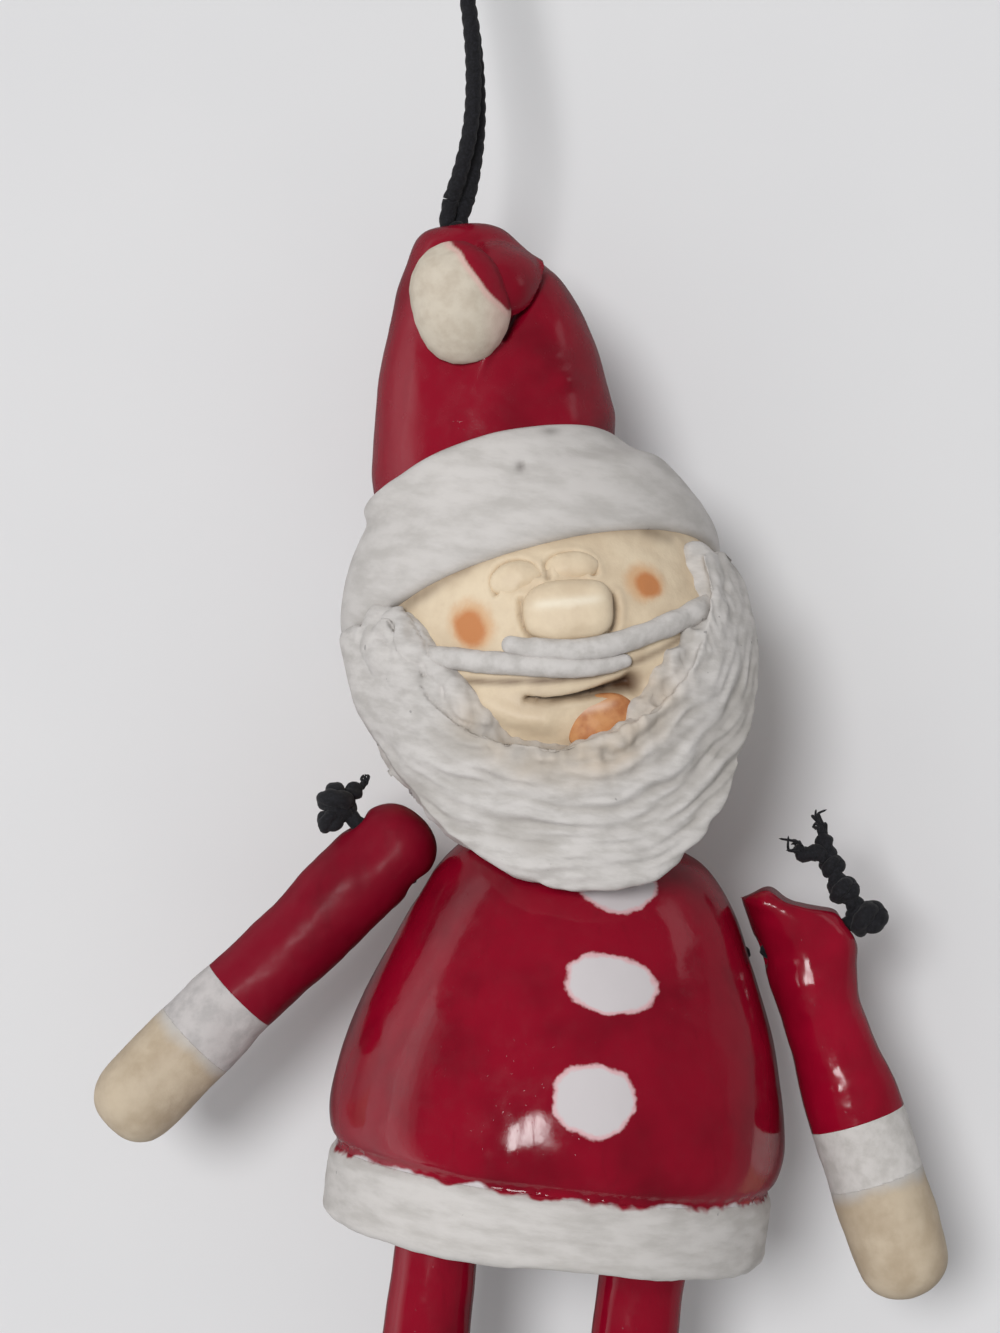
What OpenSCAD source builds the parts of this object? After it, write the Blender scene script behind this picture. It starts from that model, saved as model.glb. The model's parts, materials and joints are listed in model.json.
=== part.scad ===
// Strung clay winter figure: a hanging doll whose head, body and limbs dangle on black cord.
// The front faces -Y and +Z is up. The origin is the inside top of the hanging loop.

/* [Pose] */
// Sideways lean of the head, its top to the viewer's left
head_lean = 6; // [0:0.5:12]
// Turn of the face to the viewer's right
head_turn = 7; // [-15:0.5:15]
// Sideways lean of the torso, its top to the viewer's right
torso_lean = 14; // [0:0.5:16]
// Angle of the left arm away from the torso
left_splay = 38.5; // [30:0.5:60]
// Angle of the right arm away from the torso
right_splay = 25; // [22:0.5:60]

/* [Cord] */
// Thickness of the cord
cord_d = 2; // [1.5:0.1:2.4]
// Clear width that a hole leaves round the cord, on each side
cord_room = 0.5; // [0.3:0.05:0.6]
// Width of a tightened knot
knot_d = 5.4; // [4.5:0.1:6]

/* [Hat] */
// Height of the hat, from its hole to its seam with the head
hat_h = 32; // [28:0.5:38]
// Width of the hat at its seam with the head
hat_d = 30.4; // [26:0.2:32]
// Sideways bend of the hat against the head
hat_bend = 3.4; // [0:0.5:4]
// Thickness of the folded tip where it leaves the hat
tip_d = 10.5; // [8:0.5:12]
// Width of the pompom
pompom_w = 11.7; // [9:0.1:13]
// Height of the pompom
pompom_h = 14.6; // [11:0.1:16]

/* [Head] */
// Length from the hat's hole to the neck
head_len = 74; // [70:0.5:80]
// Width of the head at its widest
head_d = 45.6; // [44:0.5:50]
// Clay thickness of the hat and head
head_wall = 3.5; // [2.5:0.1:4.5]
// Height of the fur band, measured along its slope
band_h = 14.8; // [13:0.1:18]
// Thickness of the fur band
band_thick = 2; // [1.5:0.1:3.5]
// Tilt of the fur band, its front raised
band_slope = 18; // [10:1:24]
// Width of the nose
nose_w = 10.8; // [8:0.1:13]
// Height of the nose
nose_h = 7.2; // [5:0.1:8]
// Width of an eyelid
eyelid_w = 4.4; // [3:0.1:5]
// Length of the moustache, end to end
moustache_w = 32; // [26:0.5:36]
// Thickness of a moustache roll at its middle
moustache_d = 2.7; // [1.8:0.1:3]
// Width of the tongue
tongue_w = 7.6; // [5:0.1:9]

/* [Beard] */
// Width of the beard
beard_w = 47; // [46:0.2:52]
// Width of the bowl that the front of the beard follows
beard_bowl_d = 51; // [50:0.2:56]
// Turn of the beard to the viewer's right
beard_turn = 3; // [-15:0.5:15]
// How far the beard hangs below its widest place
beard_drop = 26.5; // [22:0.5:28]
// Width of the opening that the beard leaves for the face
face_w = 37; // [28:0.5:40]
// Depth of the opening for the face, below its widest place
face_drop = 16.3; // [14:0.1:17.5]

/* [Torso] */
// Width of the torso at its widest
torso_d = 55; // [50:0.5:60]
// Height of the torso, from its dome to the hem's lower edge
torso_h = 49.5; // [46:0.5:56]
// Clay thickness of the torso
torso_wall = 3.6; // [2.5:0.1:4.2]
// Height of the hem band
hem_h = 8.5; // [6:0.5:10]
// Width of the hem band
hem_d = 53.6; // [50:0.2:56]
// Thickness of the hem band
hem_thick = 2.2; // [1.5:0.1:3]
// Gap between the head and the torso's dome
neck_gap = 2.1; // [1.5:0.1:2.5]
// Depth of the left shoulder hole below the dome
left_hole_drop = 10; // [8.5:0.1:12]
// Depth of the right shoulder hole below the dome
right_hole_drop = 13.1; // [10:0.1:14]

/* [Arms] */
// Thickness of an arm at its shoulder
shoulder_d = 10.8; // [9:0.2:11.4]
// Length of the sleeve below its hole, left
left_sleeve = 24.5; // [20:0.5:30]
// Length of the sleeve below its hole, right
right_sleeve = 22.5; // [20:0.5:30]
// Height of the left arm's round end above its hole
left_arm_top = 6; // [5:0.1:6.2]
// Height of the right arm's sloping end above its hole
right_arm_top = 4.6; // [4:0.1:5]
// Slope of the right arm's end, down and away from the torso
arm_top_slope = 28; // [10:1:30]
// Length of the cuff
cuff_h = 7.5; // [6:0.5:12]
// Length of the hand
hand_h = 15; // [10:0.5:18]
// Width of the hand
hand_d = 11; // [9:0.2:13]
// Gap between an arm and the torso
arm_gap = 0.8; // [0.5:0.05:1.5]

/* [Legs] */
// Clearance between the loop that carries a leg and the torso's inner wall
hip_clear = 1; // [0.5:0.1:2]
// Height of the hips above the hem's lower edge
hip_inset = 4; // [3:0.5:6]
// Thickness of a leg at its hip
leg_d = 10.4; // [9:0.2:10.6]
// Length of the trouser leg below the hip
trouser_h = 27; // [22:0.5:34]
// Height of the boot
boot_h = 14; // [11:0.5:18]
// Length of the boot's foot
boot_l = 17; // [14:0.5:20]
// Width of the boot
boot_w = 11.6; // [11:0.2:13]

/* [Hidden] */
$fn = 48;
fine_sides = 96;
// Colours as the figure shows them
red_glaze = [0.54, 0.02, 0.11];
matt_white = [0.82, 0.82, 0.80];
cream = [0.80, 0.76, 0.70];
skin = [0.76, 0.69, 0.58];
tongue_brown = [0.75, 0.45, 0.28];
cord_black = [0.10, 0.10, 0.12];
boot_black = [0.09, 0.08, 0.08];
// How far a cut runs past what it cuts
overrun = 1;
// Clear width between pieces that move past each other
play = 0.35;
// Room that covers the whole figure, for half-space cuts
reach = 3 * head_len;
// Number of sides of a swept tube, and of steps between two points of an outline
tube_sides = 8;
outline_steps = 3;

// Hanging cord: the drop to the hat, and the route of one strand up, over the hook and down again
crown_drop = 90;
loop_route = [[0, -0.6, -87], [1.5, -0.9, -84], [3.2, -1.1, -79.5], [4.3, -1.3, -74.5], [4.9, -1.7, -68],
              [4.8, -2.2, -59], [3.9, -2.9, -46], [2.6, -3.6, -32], [1.2, -4.3, -18], [0.4, -4.6, -9],
              [0, -4.2, -3.4], [0, -2.4, 0.1], [0, 0, 1], [0, 2.4, 0.1], [0, 4.2, -3.4], [0.4, 4.6, -9],
              [1.2, 4.3, -18], [2.6, 3.6, -32], [3.9, 2.9, -46], [4.8, 2.4, -59], [5.1, 1.9, -68],
              [4.8, 1.5, -74.5], [4.1, 1.4, -79.5], [3, 1.2, -84], [2, 0.9, -87]];
bend_ball_d = 2.2 * cord_d;

// Hat and head outlines: width and depth shares, from the hat's hole down to the neck
hat_shares = [[0, 0], [0.26, 0.012], [0.41, 0.05], [0.52, 0.125], [0.65, 0.26], [0.79, 0.47], [0.91, 0.72], [1, 1]];
head_shares = [[0.81, 0.16], [0.945, 0.346], [1, 0.52], [0.987, 0.64], [0.915, 0.765], [0.745, 0.877],
               [0.47, 0.963], [0, 1]];
ball_h = head_len - neck_gap - hat_h;
hat_foot_share = 0.1;
crown_hole_d = bend_ball_d + 2 * cord_room;
neck_hole_d = 3 * cord_d;
inner_knot_d = 1.2 * knot_d;

// Folded tip and pompom, in shares of the hat's height and width
tip_route_shares = [[0.32, 0.02, 0.22], [0.27, -0.28, 0.21], [0.13, -0.48, 0.24], [-0.05, -0.54, 0.31]];
tip_width_shares = [0.9, 1, 0.92, 0.6];
pompom_place_shares = [-0.2, -0.79, 0.325];
pompom_tilt = 8;

// Fur band: the middle of the band on the head's axis, as a share of the head's length
band_middle_share = 0.523;
band_top_share = 0.27;
band_foot_share = 0.76;

// Face: heights on the head's axis as shares of the head's length, and how far pieces stand out of it
eye_share = 0.582;
nose_share = 0.648;
upper_roll_share = 0.716;
lower_roll_share = 0.7545;
tongue_share = 0.826;
face_widest_share = 0.635;
eye_gap_share = 0.31;
nose_sink_share = 0.12;
eyelid_sink_share = 0.3;
roll_sag_share = 0.09;
roll_end_share = 0.5;
lower_roll_length_share = 0.9;
tongue_height_share = 0.55;

// Beard: where it is widest, how round its outline is, the bowl of its front, and its open back
beard_widest_share = 0.73;
beard_top_share = 0.615;
beard_power = 1.8;
bowl_shares = [[0.955, 0], [1, 0.24], [1, 0.46], [0.975, 0.66], [0.93, 0.84], [0.875, 1.05]];
beard_back_share = 0.06;
neck_room_share = 0.5;
tilt_limit = head_lean + torso_lean + 3;

// Torso outline: width and depth shares of the glazed bell above the hem
torso_shares = [[0, 0], [0.255, 0.007], [0.418, 0.041], [0.527, 0.08], [0.655, 0.185], [0.764, 0.334],
                [0.855, 0.48], [0.92, 0.602], [0.978, 0.766], [1, 0.89], [0.978, 0.97]];
bell_h = torso_h - hem_h;
hem_seat_r = hem_d / 2 - hem_thick;
hem_round_share = 0.35;

// Arm outlines below the hole: width shares of the shoulder, and depth shares of the sleeve
left_sleeve_shares = [[1, 0], [1.02, 0.25], [0.99, 0.5], [0.96, 0.75], [0.95, 0.92], [0.95, 1]];
right_sleeve_shares = [[1, 0], [0.98, 0.25], [0.96, 0.5], [0.98, 0.72], [1.03, 0.92], [1.05, 1]];
cuff_flare_share = 0.02;
arm_end_power = 2.5;
hand_power = 2.4;
tail_d = 1.15 * cord_d;

// Leg outline below the hip, and the loop of cord that it hangs on
trouser_shares = [[1, 0], [0.97, 0.3], [0.98, 0.6], [1.06, 1]];
hip_loop_share = 1.35;
hip_loop_w = (leg_d + cord_d) / 2 + play;
hip_tie_share = 0.8;
hollow_r = min(hem_seat_r, torso_r(torso_h)) - torso_wall;
leg_pitch = 2 * (hollow_r - hip_loop_w - cord_d / 2 - hip_clear);
boot_sole_share = 0.2;
boot_heel_share = 0.36;
boot_power = 2.4;

function spline(a, b, c, d, t) =
    ((2 * b) + (c - a) * t + (2 * a - 5 * b + 4 * c - d) * t * t + (3 * b - a - 3 * c + d) * t * t * t) / 2;
function smooth(p, n) =
    [for (i = [0 : len(p) - 2], k = [0 : n - 1])
         spline(p[max(i - 1, 0)], p[i], p[i + 1], p[min(i + 2, len(p) - 1)], k / n),
     p[len(p) - 1]];
function on_right(p) = [for (q = p) [max(q[0], 0), q[1]]];
function bulge(t, power) = sign(t) * pow(abs(t), 2 / power);
function unit(v) = v / norm(v);

// Outlines as [radius, height], measured from the hat's hole or from the torso's dome
function hat_outline(skin_off) =
    on_right(smooth([for (s = hat_shares)
        [s[0] * (hat_d / 2 - skin_off), -hat_h + (1 - s[1]) * (hat_h - skin_off)]], outline_steps));
function head_outline(skin_off) =
    on_right(smooth(concat([[hat_d / 2 - skin_off, -hat_h]], [for (s = head_shares)
        [s[0] * (head_d / 2 - skin_off), -hat_h - s[1] * (ball_h - skin_off)]]), outline_steps));
function torso_outline() =
    on_right(smooth([for (s = torso_shares) [s[0] * torso_d / 2, -s[1] * bell_h]], outline_steps));
function torso_r(drop) = lookup(drop, [for (p = torso_outline()) [-p[1], p[0]]]);
function head_r(drop) = lookup(drop, [for (p = head_outline(0)) [-p[1], p[0]]]);

// Places: the crown, the neck, and in the torso's frame the shoulders, their holes and the hips
crown = [0, 0, -crown_drop];
neck = crown + head_len * [sin(head_lean), 0, -cos(head_lean)];
arm_reach = shoulder_d / 2 + arm_gap;
left_hole = [-torso_r(left_hole_drop), 0, -left_hole_drop];
right_hole = [torso_r(right_hole_drop), 0, -right_hole_drop];
left_shoulder = left_hole + arm_reach * [-cos(left_splay), 0, sin(left_splay)];
right_shoulder = right_hole + arm_reach * [cos(right_splay), 0, sin(right_splay)];
hip_drop = torso_h - hip_inset;
function cord_height(x) =
    left_hole[2] + (right_hole[2] - left_hole[2]) * (x - left_hole[0]) / (right_hole[0] - left_hole[0]);

echo(crown = crown, neck = neck, left_shoulder = left_shoulder, right_shoulder = right_shoulder,
     hip_drop = hip_drop, leg_pitch = leg_pitch);

module in_head() { translate(crown) rotate([0, -head_lean, 0]) children(); }
module in_face() { in_head() rotate([0, 0, head_turn]) children(); }
module in_torso() { translate(neck) rotate([0, torso_lean, 0]) children(); }
module in_arm(side) {
    in_torso() translate(side < 0 ? left_shoulder : right_shoulder)
        rotate([0, -side * (side < 0 ? left_splay : right_splay), 0]) children();
}
module in_leg(side) { in_torso() translate([side * leg_pitch / 2, 0, -hip_drop]) children(); }

// A solid of revolution closed to its axis
module turned(outline) {
    rotate_extrude() polygon(concat([[0, outline[0][1]]], outline, [[0, outline[len(outline) - 1][1]]]));
}

// A rounded solid of revolution about Z, w wide and h high; a power above 2 makes it blockier
module egg(w, h, power) {
    rotate_extrude() polygon([for (a = [-90 : 180 / (4 * outline_steps) : 90])
        [w / 2 * max(bulge(cos(a), power), 0), h / 2 * bulge(sin(a), power)]]);
}

module stick(a, b, d) {
    v = b - a;
    translate(a) rotate([0, acos(v[2] / norm(v)), atan2(v[1], v[0])]) cylinder(h = norm(v), d = d);
}

// A round tube along a path, with one width for each of its points; its rings stand square to the path
module tube(path, widths, across) {
    last = len(path) - 1;
    rings = [for (i = [0 : last])
        let (t = unit(path[min(i + 1, last)] - path[max(i - 1, 0)]), u = unit(cross(t, across)), v = cross(t, u))
        for (k = [0 : tube_sides - 1])
            path[i] + widths[i] / 2 * (cos(k * 360 / tube_sides) * u + sin(k * 360 / tube_sides) * v)];
    sides = [for (i = [0 : last - 1], k = [0 : tube_sides - 1])
        let (a = i * tube_sides + k, b = i * tube_sides + (k + 1) % tube_sides)
        for (f = [[a, a + tube_sides, b], [b, a + tube_sides, b + tube_sides]]) f];
    ends = [for (k = [1 : tube_sides - 2])
        for (f = [[0, k, k + 1], [0, k + 1, k] + last * tube_sides * [1, 1, 1]]) f];
    polyhedron(rings, concat(sides, ends));
}

// The hat leans a little, so its foot is drawn out and cut level at the seam
module hat_solid(skin_off) {
    outline = hat_outline(skin_off);
    foot = outline[len(outline) - 1];
    intersection() {
        rotate([0, hat_bend, 0]) turned(concat(outline, [[foot[0], foot[1] - hat_foot_share * hat_h]]));
        translate([-reach / 2, -reach / 2, -hat_h]) cube(reach);
    }
}
module hat_form() { hat_solid(0); }
module head_form() { turned(head_outline(0)); }

module hanging_cord() {
    path = smooth(loop_route, 2);
    color(cord_black) tube(path, [for (p = path) cord_d], [1, 0, 0]);
}

module crown_knot() {
    color(cord_black) in_head() {
        sphere(d = bend_ball_d);
        translate([0, 0, -head_wall - inner_knot_d / 2]) cylinder(h = head_wall + inner_knot_d / 2, d = bend_ball_d);
        translate([0, 0, -head_wall - inner_knot_d / 2]) sphere(d = inner_knot_d);
    }
}

module neck_cord() {
    knot_drop = head_wall + inner_knot_d / 2;
    color(cord_black) in_head() difference() {
        union() {
            translate([0, 0, -head_len]) cylinder(h = head_len - knot_drop, d = cord_d);
            translate([0, 0, -head_len]) sphere(d = cord_d);
        }
        translate([0, 0, -knot_drop]) sphere(d = inner_knot_d);
    }
}

module hat() {
    color(red_glaze) in_head() difference() {
        hat_form();
        translate([0, 0, -overrun]) hat_solid(head_wall);
        translate([0, 0, -2 * head_wall]) cylinder(h = 2 * head_wall + overrun, d = crown_hole_d);
    }
}

module head() {
    color(skin) in_head() difference() {
        head_form();
        turned(head_outline(head_wall));
        translate([0, 0, -head_len]) cylinder(h = ball_h, d = neck_hole_d);
    }
}

module pompom_form() {
    translate([pompom_place_shares[0] * hat_d / 2, pompom_place_shares[1] * hat_d / 2,
               -pompom_place_shares[2] * hat_h])
        rotate([0, pompom_tilt, 0]) egg(pompom_w, pompom_h, 2);
}

module pompom() {
    color(cream) in_face() difference() {
        pompom_form();
        hat_form();
    }
}

module hat_tip() {
    route = smooth([for (s = tip_route_shares) [s[0] * hat_d / 2, s[1] * hat_d / 2, -s[2] * hat_h]], outline_steps);
    widths = smooth([for (s = tip_width_shares) [s * tip_d, 0]], outline_steps);
    color(red_glaze) in_face() difference() {
        tube(route, [for (w = widths) w[0]], [1, 0, 0]);
        hat_form();
        pompom_form();
    }
}

// The fur band's slab leans back; above it is the hat, below it the face and the hair
module band_slab(h) {
    translate([0, 0, -band_middle_share * head_len]) rotate([-band_slope, 0, 0])
        cube([reach, reach, h], center = true);
}

module band_form() {
    carriers = concat(hat_outline(0), head_outline(0));
    turned([for (p = carriers)
        if (-p[1] > band_top_share * head_len && -p[1] < band_foot_share * head_len)
            [p[0] + band_thick, p[1]]]);
}

module fur_band() {
    color(matt_white) in_face() difference() {
        intersection() {
            band_form();
            band_slab(band_h);
        }
        hat_form();
        head_form();
    }
}

// Places something on the front of the face, at a share of the head's length
module on_face(share, sink) {
    translate([0, -head_r(share * head_len) + sink, -share * head_len]) children();
}

module nose() {
    color(skin) in_face() difference() {
        on_face(nose_share, nose_sink_share * nose_h) rotate([0, 90, 0]) egg(nose_h, nose_w, 3);
        head_form();
    }
}

module eyelid(side) {
    $fn = fine_sides;
    color(skin) in_face() difference() {
        on_face(eye_share, eyelid_sink_share * eyelid_w) translate([side * eye_gap_share * nose_w, 0, 0])
            sphere(d = eyelid_w);
        head_form();
    }
}
module left_eyelid() { eyelid(-1); }
module right_eyelid() { eyelid(1); }

module tongue() {
    tongue_h = tongue_height_share * tongue_w;
    color(tongue_brown) in_face() difference() {
        intersection() {
            on_face(tongue_share, 0) rotate([0, 90, 0]) egg(tongue_h, tongue_w, 2);
            rotate([0, 0, beard_turn - head_turn]) rotate([90, 0, 0]) linear_extrude(reach) face_opening();
        }
        head_form();
    }
}

// A tapered clay roll laid across the face, sagging at its middle
module roll(share, length) {
    steps = [-1 : 1 / (2 * outline_steps) : 1];
    drop = share * head_len;
    route = [for (s = steps)
        let (x = s * length / 2, z = -drop + roll_sag_share * length * s * s,
             r = head_r(-z) + moustache_d / 4)
        [x, -sqrt(r * r - x * x), z]];
    widths = [for (s = steps) moustache_d * (1 - roll_end_share * s * s)];
    color(matt_white) in_face() difference() {
        tube(route, widths, [0, 0, 1]);
        head_form();
    }
}
module upper_moustache() { roll(upper_roll_share, moustache_w); }
module lower_moustache() { roll(lower_roll_share, lower_roll_length_share * moustache_w); }

// The room that the torso leaves at the neck: inside the trumpet that its dome sweeps as it tilts,
// and beside the dome where it is tilted furthest to either side
module tilt_room() {
    trumpet = [for (p = torso_outline()) if (-p[1] > 2 * play) [-p[1] - 2 * play, p[0]]];
    translate([0, 0, -head_len]) difference() {
        union() {
            rotate([0, -tilt_limit, 0]) translate([0, -reach / 2, -reach / 2]) cube(reach);
            rotate([0, tilt_limit, 0]) translate([-reach, -reach / 2, -reach / 2]) cube(reach);
            rotate([90, 0, 0]) turned(concat(trumpet, [[trumpet[len(trumpet) - 1][0], torso_d]]));
        }
        for (tilt = [-tilt_limit, tilt_limit]) rotate([0, tilt, 0])
            turned([for (s = torso_shares) [s[0] * torso_d / 2 + 2 * play, 2 * play - s[1] * bell_h]]);
        cylinder(h = neck_room_share * head_d, d = neck_room_share * head_d, center = true);
    }
}

module face_opening() {
    polygon(concat([[face_w / 2, 0], [-face_w / 2, 0]],
        [for (a = [180 : 10 : 360])
            [face_w / 2 * cos(a), -face_widest_share * head_len + face_drop * sin(a)]]));
}

module beard_front() {
    widest = beard_widest_share * head_len;
    top = beard_top_share * head_len;
    rotate([90, 0, 0]) linear_extrude(reach) difference() {
        polygon(concat([[beard_w / 2, -top], [-beard_w / 2, -top]],
            [for (a = [180 : 10 : 360])
                [beard_w / 2 * bulge(cos(a), beard_power), -widest + beard_drop * bulge(sin(a), beard_power)]]));
        face_opening();
    }
}

module beard() {
    top = beard_top_share * head_len;
    fall = beard_widest_share * head_len + beard_drop - top;
    color(matt_white) in_head() intersection() {
        rotate([0, 0, beard_turn]) difference() {
            intersection() {
                beard_front();
                turned(smooth([for (s = bowl_shares) [s[0] * beard_bowl_d / 2, -top - s[1] * fall]], outline_steps));
                translate([-reach / 2, -reach - beard_back_share * head_d, -reach]) cube(reach);
            }
            head_form();
            rotate([0, 0, head_turn - beard_turn]) intersection() {
                band_form();
                band_slab(band_h);
            }
        }
        tilt_room();
    }
}

module torso() {
    outline = concat(torso_outline(), [[hem_seat_r, -bell_h], [hem_seat_r, -torso_h]]);
    cavity = [for (s = torso_shares)
        [s[0] * (torso_d / 2 - torso_wall), -torso_wall - s[1] * (bell_h - torso_wall)]];
    color(red_glaze) in_torso() difference() {
        turned(outline);
        turned(concat([for (p = on_right(smooth(cavity, outline_steps))) [min(p[0], hollow_r), p[1]]],
                      [[hollow_r, -torso_h - overrun]]));
        translate([0, 0, -2 * torso_wall]) cylinder(h = 2 * torso_wall + overrun, d = cord_d + 4 * cord_room);
        stick(2 * left_hole - right_hole, 2 * right_hole - left_hole, cord_d + 2 * cord_room);
    }
}

module hem_band() {
    edge = hem_round_share * hem_thick;
    color(matt_white) in_torso() rotate_extrude() polygon([
        [hem_seat_r, -bell_h], [hem_d / 2 - edge, -bell_h], [hem_d / 2, -bell_h - edge],
        [hem_d / 2, -torso_h + edge], [hem_d / 2 - edge, -torso_h], [hem_seat_r, -torso_h]]);
}

module neck_knot() {
    hole_r = cord_d / 2 + 2 * cord_room;
    knot_drop = torso_wall + play + sqrt(pow(knot_d / 2, 2) - pow(min(hole_r, knot_d / 4), 2));
    color(cord_black) in_torso() {
        translate([0, 0, -knot_drop]) cylinder(h = knot_drop - cord_d / 2 - play, d = cord_d);
        translate([0, 0, -knot_drop]) sphere(d = knot_d);
    }
}

module shoulder_cord() {
    color(cord_black) in_torso() stick(left_hole, right_hole, cord_d);
}

// Each leg hangs on a cord that is knotted round the shoulder cord and looped through the leg
module hip_cord(side) {
    x = side * leg_pitch / 2;
    tie_x = hip_tie_share * x;
    tie = [tie_x, 0, cord_height(tie_x)];
    hip = [x, 0, -hip_drop];
    top = hip + [0, 0, hip_loop_share * leg_d];
    color(cord_black) in_torso() difference() {
        union() {
            translate(tie) sphere(d = 2 * cord_d);
            stick(top, tie, cord_d);
            translate(top) sphere(d = 2 * cord_d);
            for (s = [-1, 1]) {
                low = hip + [s * hip_loop_w, 0, 0];
                high = low + [0, 0, leg_d / 2];
                stick(low, high, cord_d);
                stick(high, top, cord_d);
                translate(low) sphere(d = cord_d);
                translate(high) sphere(d = cord_d);
            }
            stick(hip - [hip_loop_w, 0, 0], hip + [hip_loop_w, 0, 0], cord_d);
        }
        stick(left_hole, right_hole, cord_d);
    }
}
module left_hip_cord() { hip_cord(-1); }
module right_hip_cord() { hip_cord(1); }

// The end of the shoulder cord in the arm's hole, with the knot that stops it
module shoulder_knot(side) {
    half = shoulder_d / 2;
    color(cord_black) in_arm(side) {
        stick([-side * (half - play), 0, 0], [side * (half + knot_d / 2), 0, 0], cord_d);
        translate([side * (half + play + knot_d / 2), 0, 0]) sphere(d = knot_d);
    }
}
module left_shoulder_knot() { shoulder_knot(-1); }
module right_shoulder_knot() { shoulder_knot(1); }

// Frayed ends: each list is a route from the middle of the knot, in shares of the knot's width
left_tail_shares = [[0, 0, 0], [0.12, 0.12, 0.5], [0.14, 0.25, 0.9], [0.08, 0.35, 1.1]];
right_tail_shares = [[0, 0, 0], [-0.2, 0.1, 0.75], [-0.6, 0.15, 1.35], [-0.75, 0.1, 2.1], [-0.85, 0.1, 2.7]];
module knot_tails(side, shares) {
    knot_at = [side * (shoulder_d / 2 + play + knot_d / 2), 0, 0];
    route = smooth([for (s = shares) knot_at + [side * s[0], s[1], s[2]] * knot_d], outline_steps);
    color(cord_black) in_arm(side) difference() {
        tube(route, [for (i = [0 : len(route) - 1]) tail_d * (1 - i / len(route) / 2)], [1, 0, 0]);
        translate(knot_at) sphere(d = knot_d);
    }
}
module left_knot_tails() { knot_tails(-1, left_tail_shares); }
module right_knot_tails() { knot_tails(1, right_tail_shares); }

// A sleeve's upper end: the left one is round, the right one is cut on a slope, down and out
function sleeve_outline(shares, length) =
    smooth([for (s = shares) [s[0] * shoulder_d / 2, -s[1] * length]], outline_steps);
function wrist_share(side) = side < 0 ? left_sleeve_shares[5][0] : right_sleeve_shares[5][0];
module sleeve_bore() {
    rotate([0, 90, 0]) cylinder(h = 2 * shoulder_d, d = cord_d + 2 * cord_room, center = true);
}
module left_sleeve_roll() {
    cap = [for (a = [90 : -90 / (2 * outline_steps) : 1])
        [shoulder_d / 2 * max(bulge(cos(a), arm_end_power), 0), left_arm_top * bulge(sin(a), arm_end_power)]];
    color(red_glaze) in_arm(-1) difference() {
        turned(concat(cap, sleeve_outline(left_sleeve_shares, left_sleeve)));
        sleeve_bore();
    }
}
module right_sleeve_roll() {
    color(red_glaze) in_arm(1) difference() {
        turned(concat([[0, shoulder_d], [shoulder_d / 2, shoulder_d]], sleeve_outline(right_sleeve_shares, right_sleeve)));
        translate([0, 0, right_arm_top]) rotate([0, arm_top_slope, 0])
            translate([-shoulder_d, -shoulder_d, 0]) cube(2 * shoulder_d);
        sleeve_bore();
    }
}

module cuff(side, start) {
    color(matt_white) in_arm(side) translate([0, 0, -start - cuff_h])
        cylinder(h = cuff_h, d1 = (wrist_share(side) + cuff_flare_share) * shoulder_d,
                 d2 = wrist_share(side) * shoulder_d);
}
module left_cuff() { cuff(-1, left_sleeve); }
module right_cuff() { cuff(1, right_sleeve); }

module hand(side, start) {
    tip = hand_h - hand_d / 2;
    color(skin) in_arm(side) translate([0, 0, -start - cuff_h]) turned(concat(
        [[(wrist_share(side) + cuff_flare_share) * shoulder_d / 2, 0]],
        [for (a = [0 : 90 / (2 * outline_steps) : 90])
            [hand_d / 2 * max(bulge(cos(a), hand_power), 0), -tip - hand_d / 2 * bulge(sin(a), hand_power)]]));
}
module left_hand() { hand(-1, left_sleeve); }
module right_hand() { hand(1, right_sleeve); }

module trouser(side) {
    half = leg_d / 2;
    cap = [for (a = [90 : -90 / (2 * outline_steps) : 0]) half * [cos(a), sin(a)]];
    leg = smooth([for (s = trouser_shares) [s[0] * half, -s[1] * trouser_h]], outline_steps);
    color(red_glaze) in_leg(side) difference() {
        turned(concat(cap, [for (i = [1 : len(leg) - 1]) leg[i]]));
        rotate([0, 90, 0]) cylinder(h = 2 * leg_d, d = cord_d + 2 * cord_room, center = true);
    }
}
module left_trouser() { trouser(-1); }
module right_trouser() { trouser(1); }

module boot(side) {
    ankle_d = trouser_shares[len(trouser_shares) - 1][0] * leg_d;
    heel = boot_heel_share * ankle_d;
    color(boot_black) in_leg(side) translate([0, 0, -trouser_h]) union() {
        translate([0, 0, -boot_h]) cylinder(h = boot_h, d = ankle_d);
        difference() {
            translate([0, heel - boot_l / 2, -boot_h + boot_sole_share * boot_w])
                rotate([90, 0, 0]) egg(boot_w, boot_l, boot_power);
            translate([-boot_l, -2 * boot_l, -boot_h - boot_l]) cube([2 * boot_l, 4 * boot_l, boot_l]);
        }
    }
}
module left_boot() { boot(-1); }
module right_boot() { boot(1); }

hanging_cord();
crown_knot();
neck_cord();
hat();
hat_tip();
pompom();
fur_band();
head();
left_eyelid();
right_eyelid();
nose();
upper_moustache();
lower_moustache();
tongue();
beard();
torso();
hem_band();
neck_knot();
shoulder_cord();
left_hip_cord();
right_hip_cord();
left_shoulder_knot();
left_knot_tails();
right_shoulder_knot();
right_knot_tails();
left_sleeve_roll();
left_cuff();
left_hand();
right_sleeve_roll();
right_cuff();
right_hand();
left_trouser();
left_boot();
right_trouser();
right_boot();
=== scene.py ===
import json
import math

import bmesh
import bpy
import numpy as np
from mathutils import Matrix, Vector
from mathutils.bvhtree import BVHTree


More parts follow.
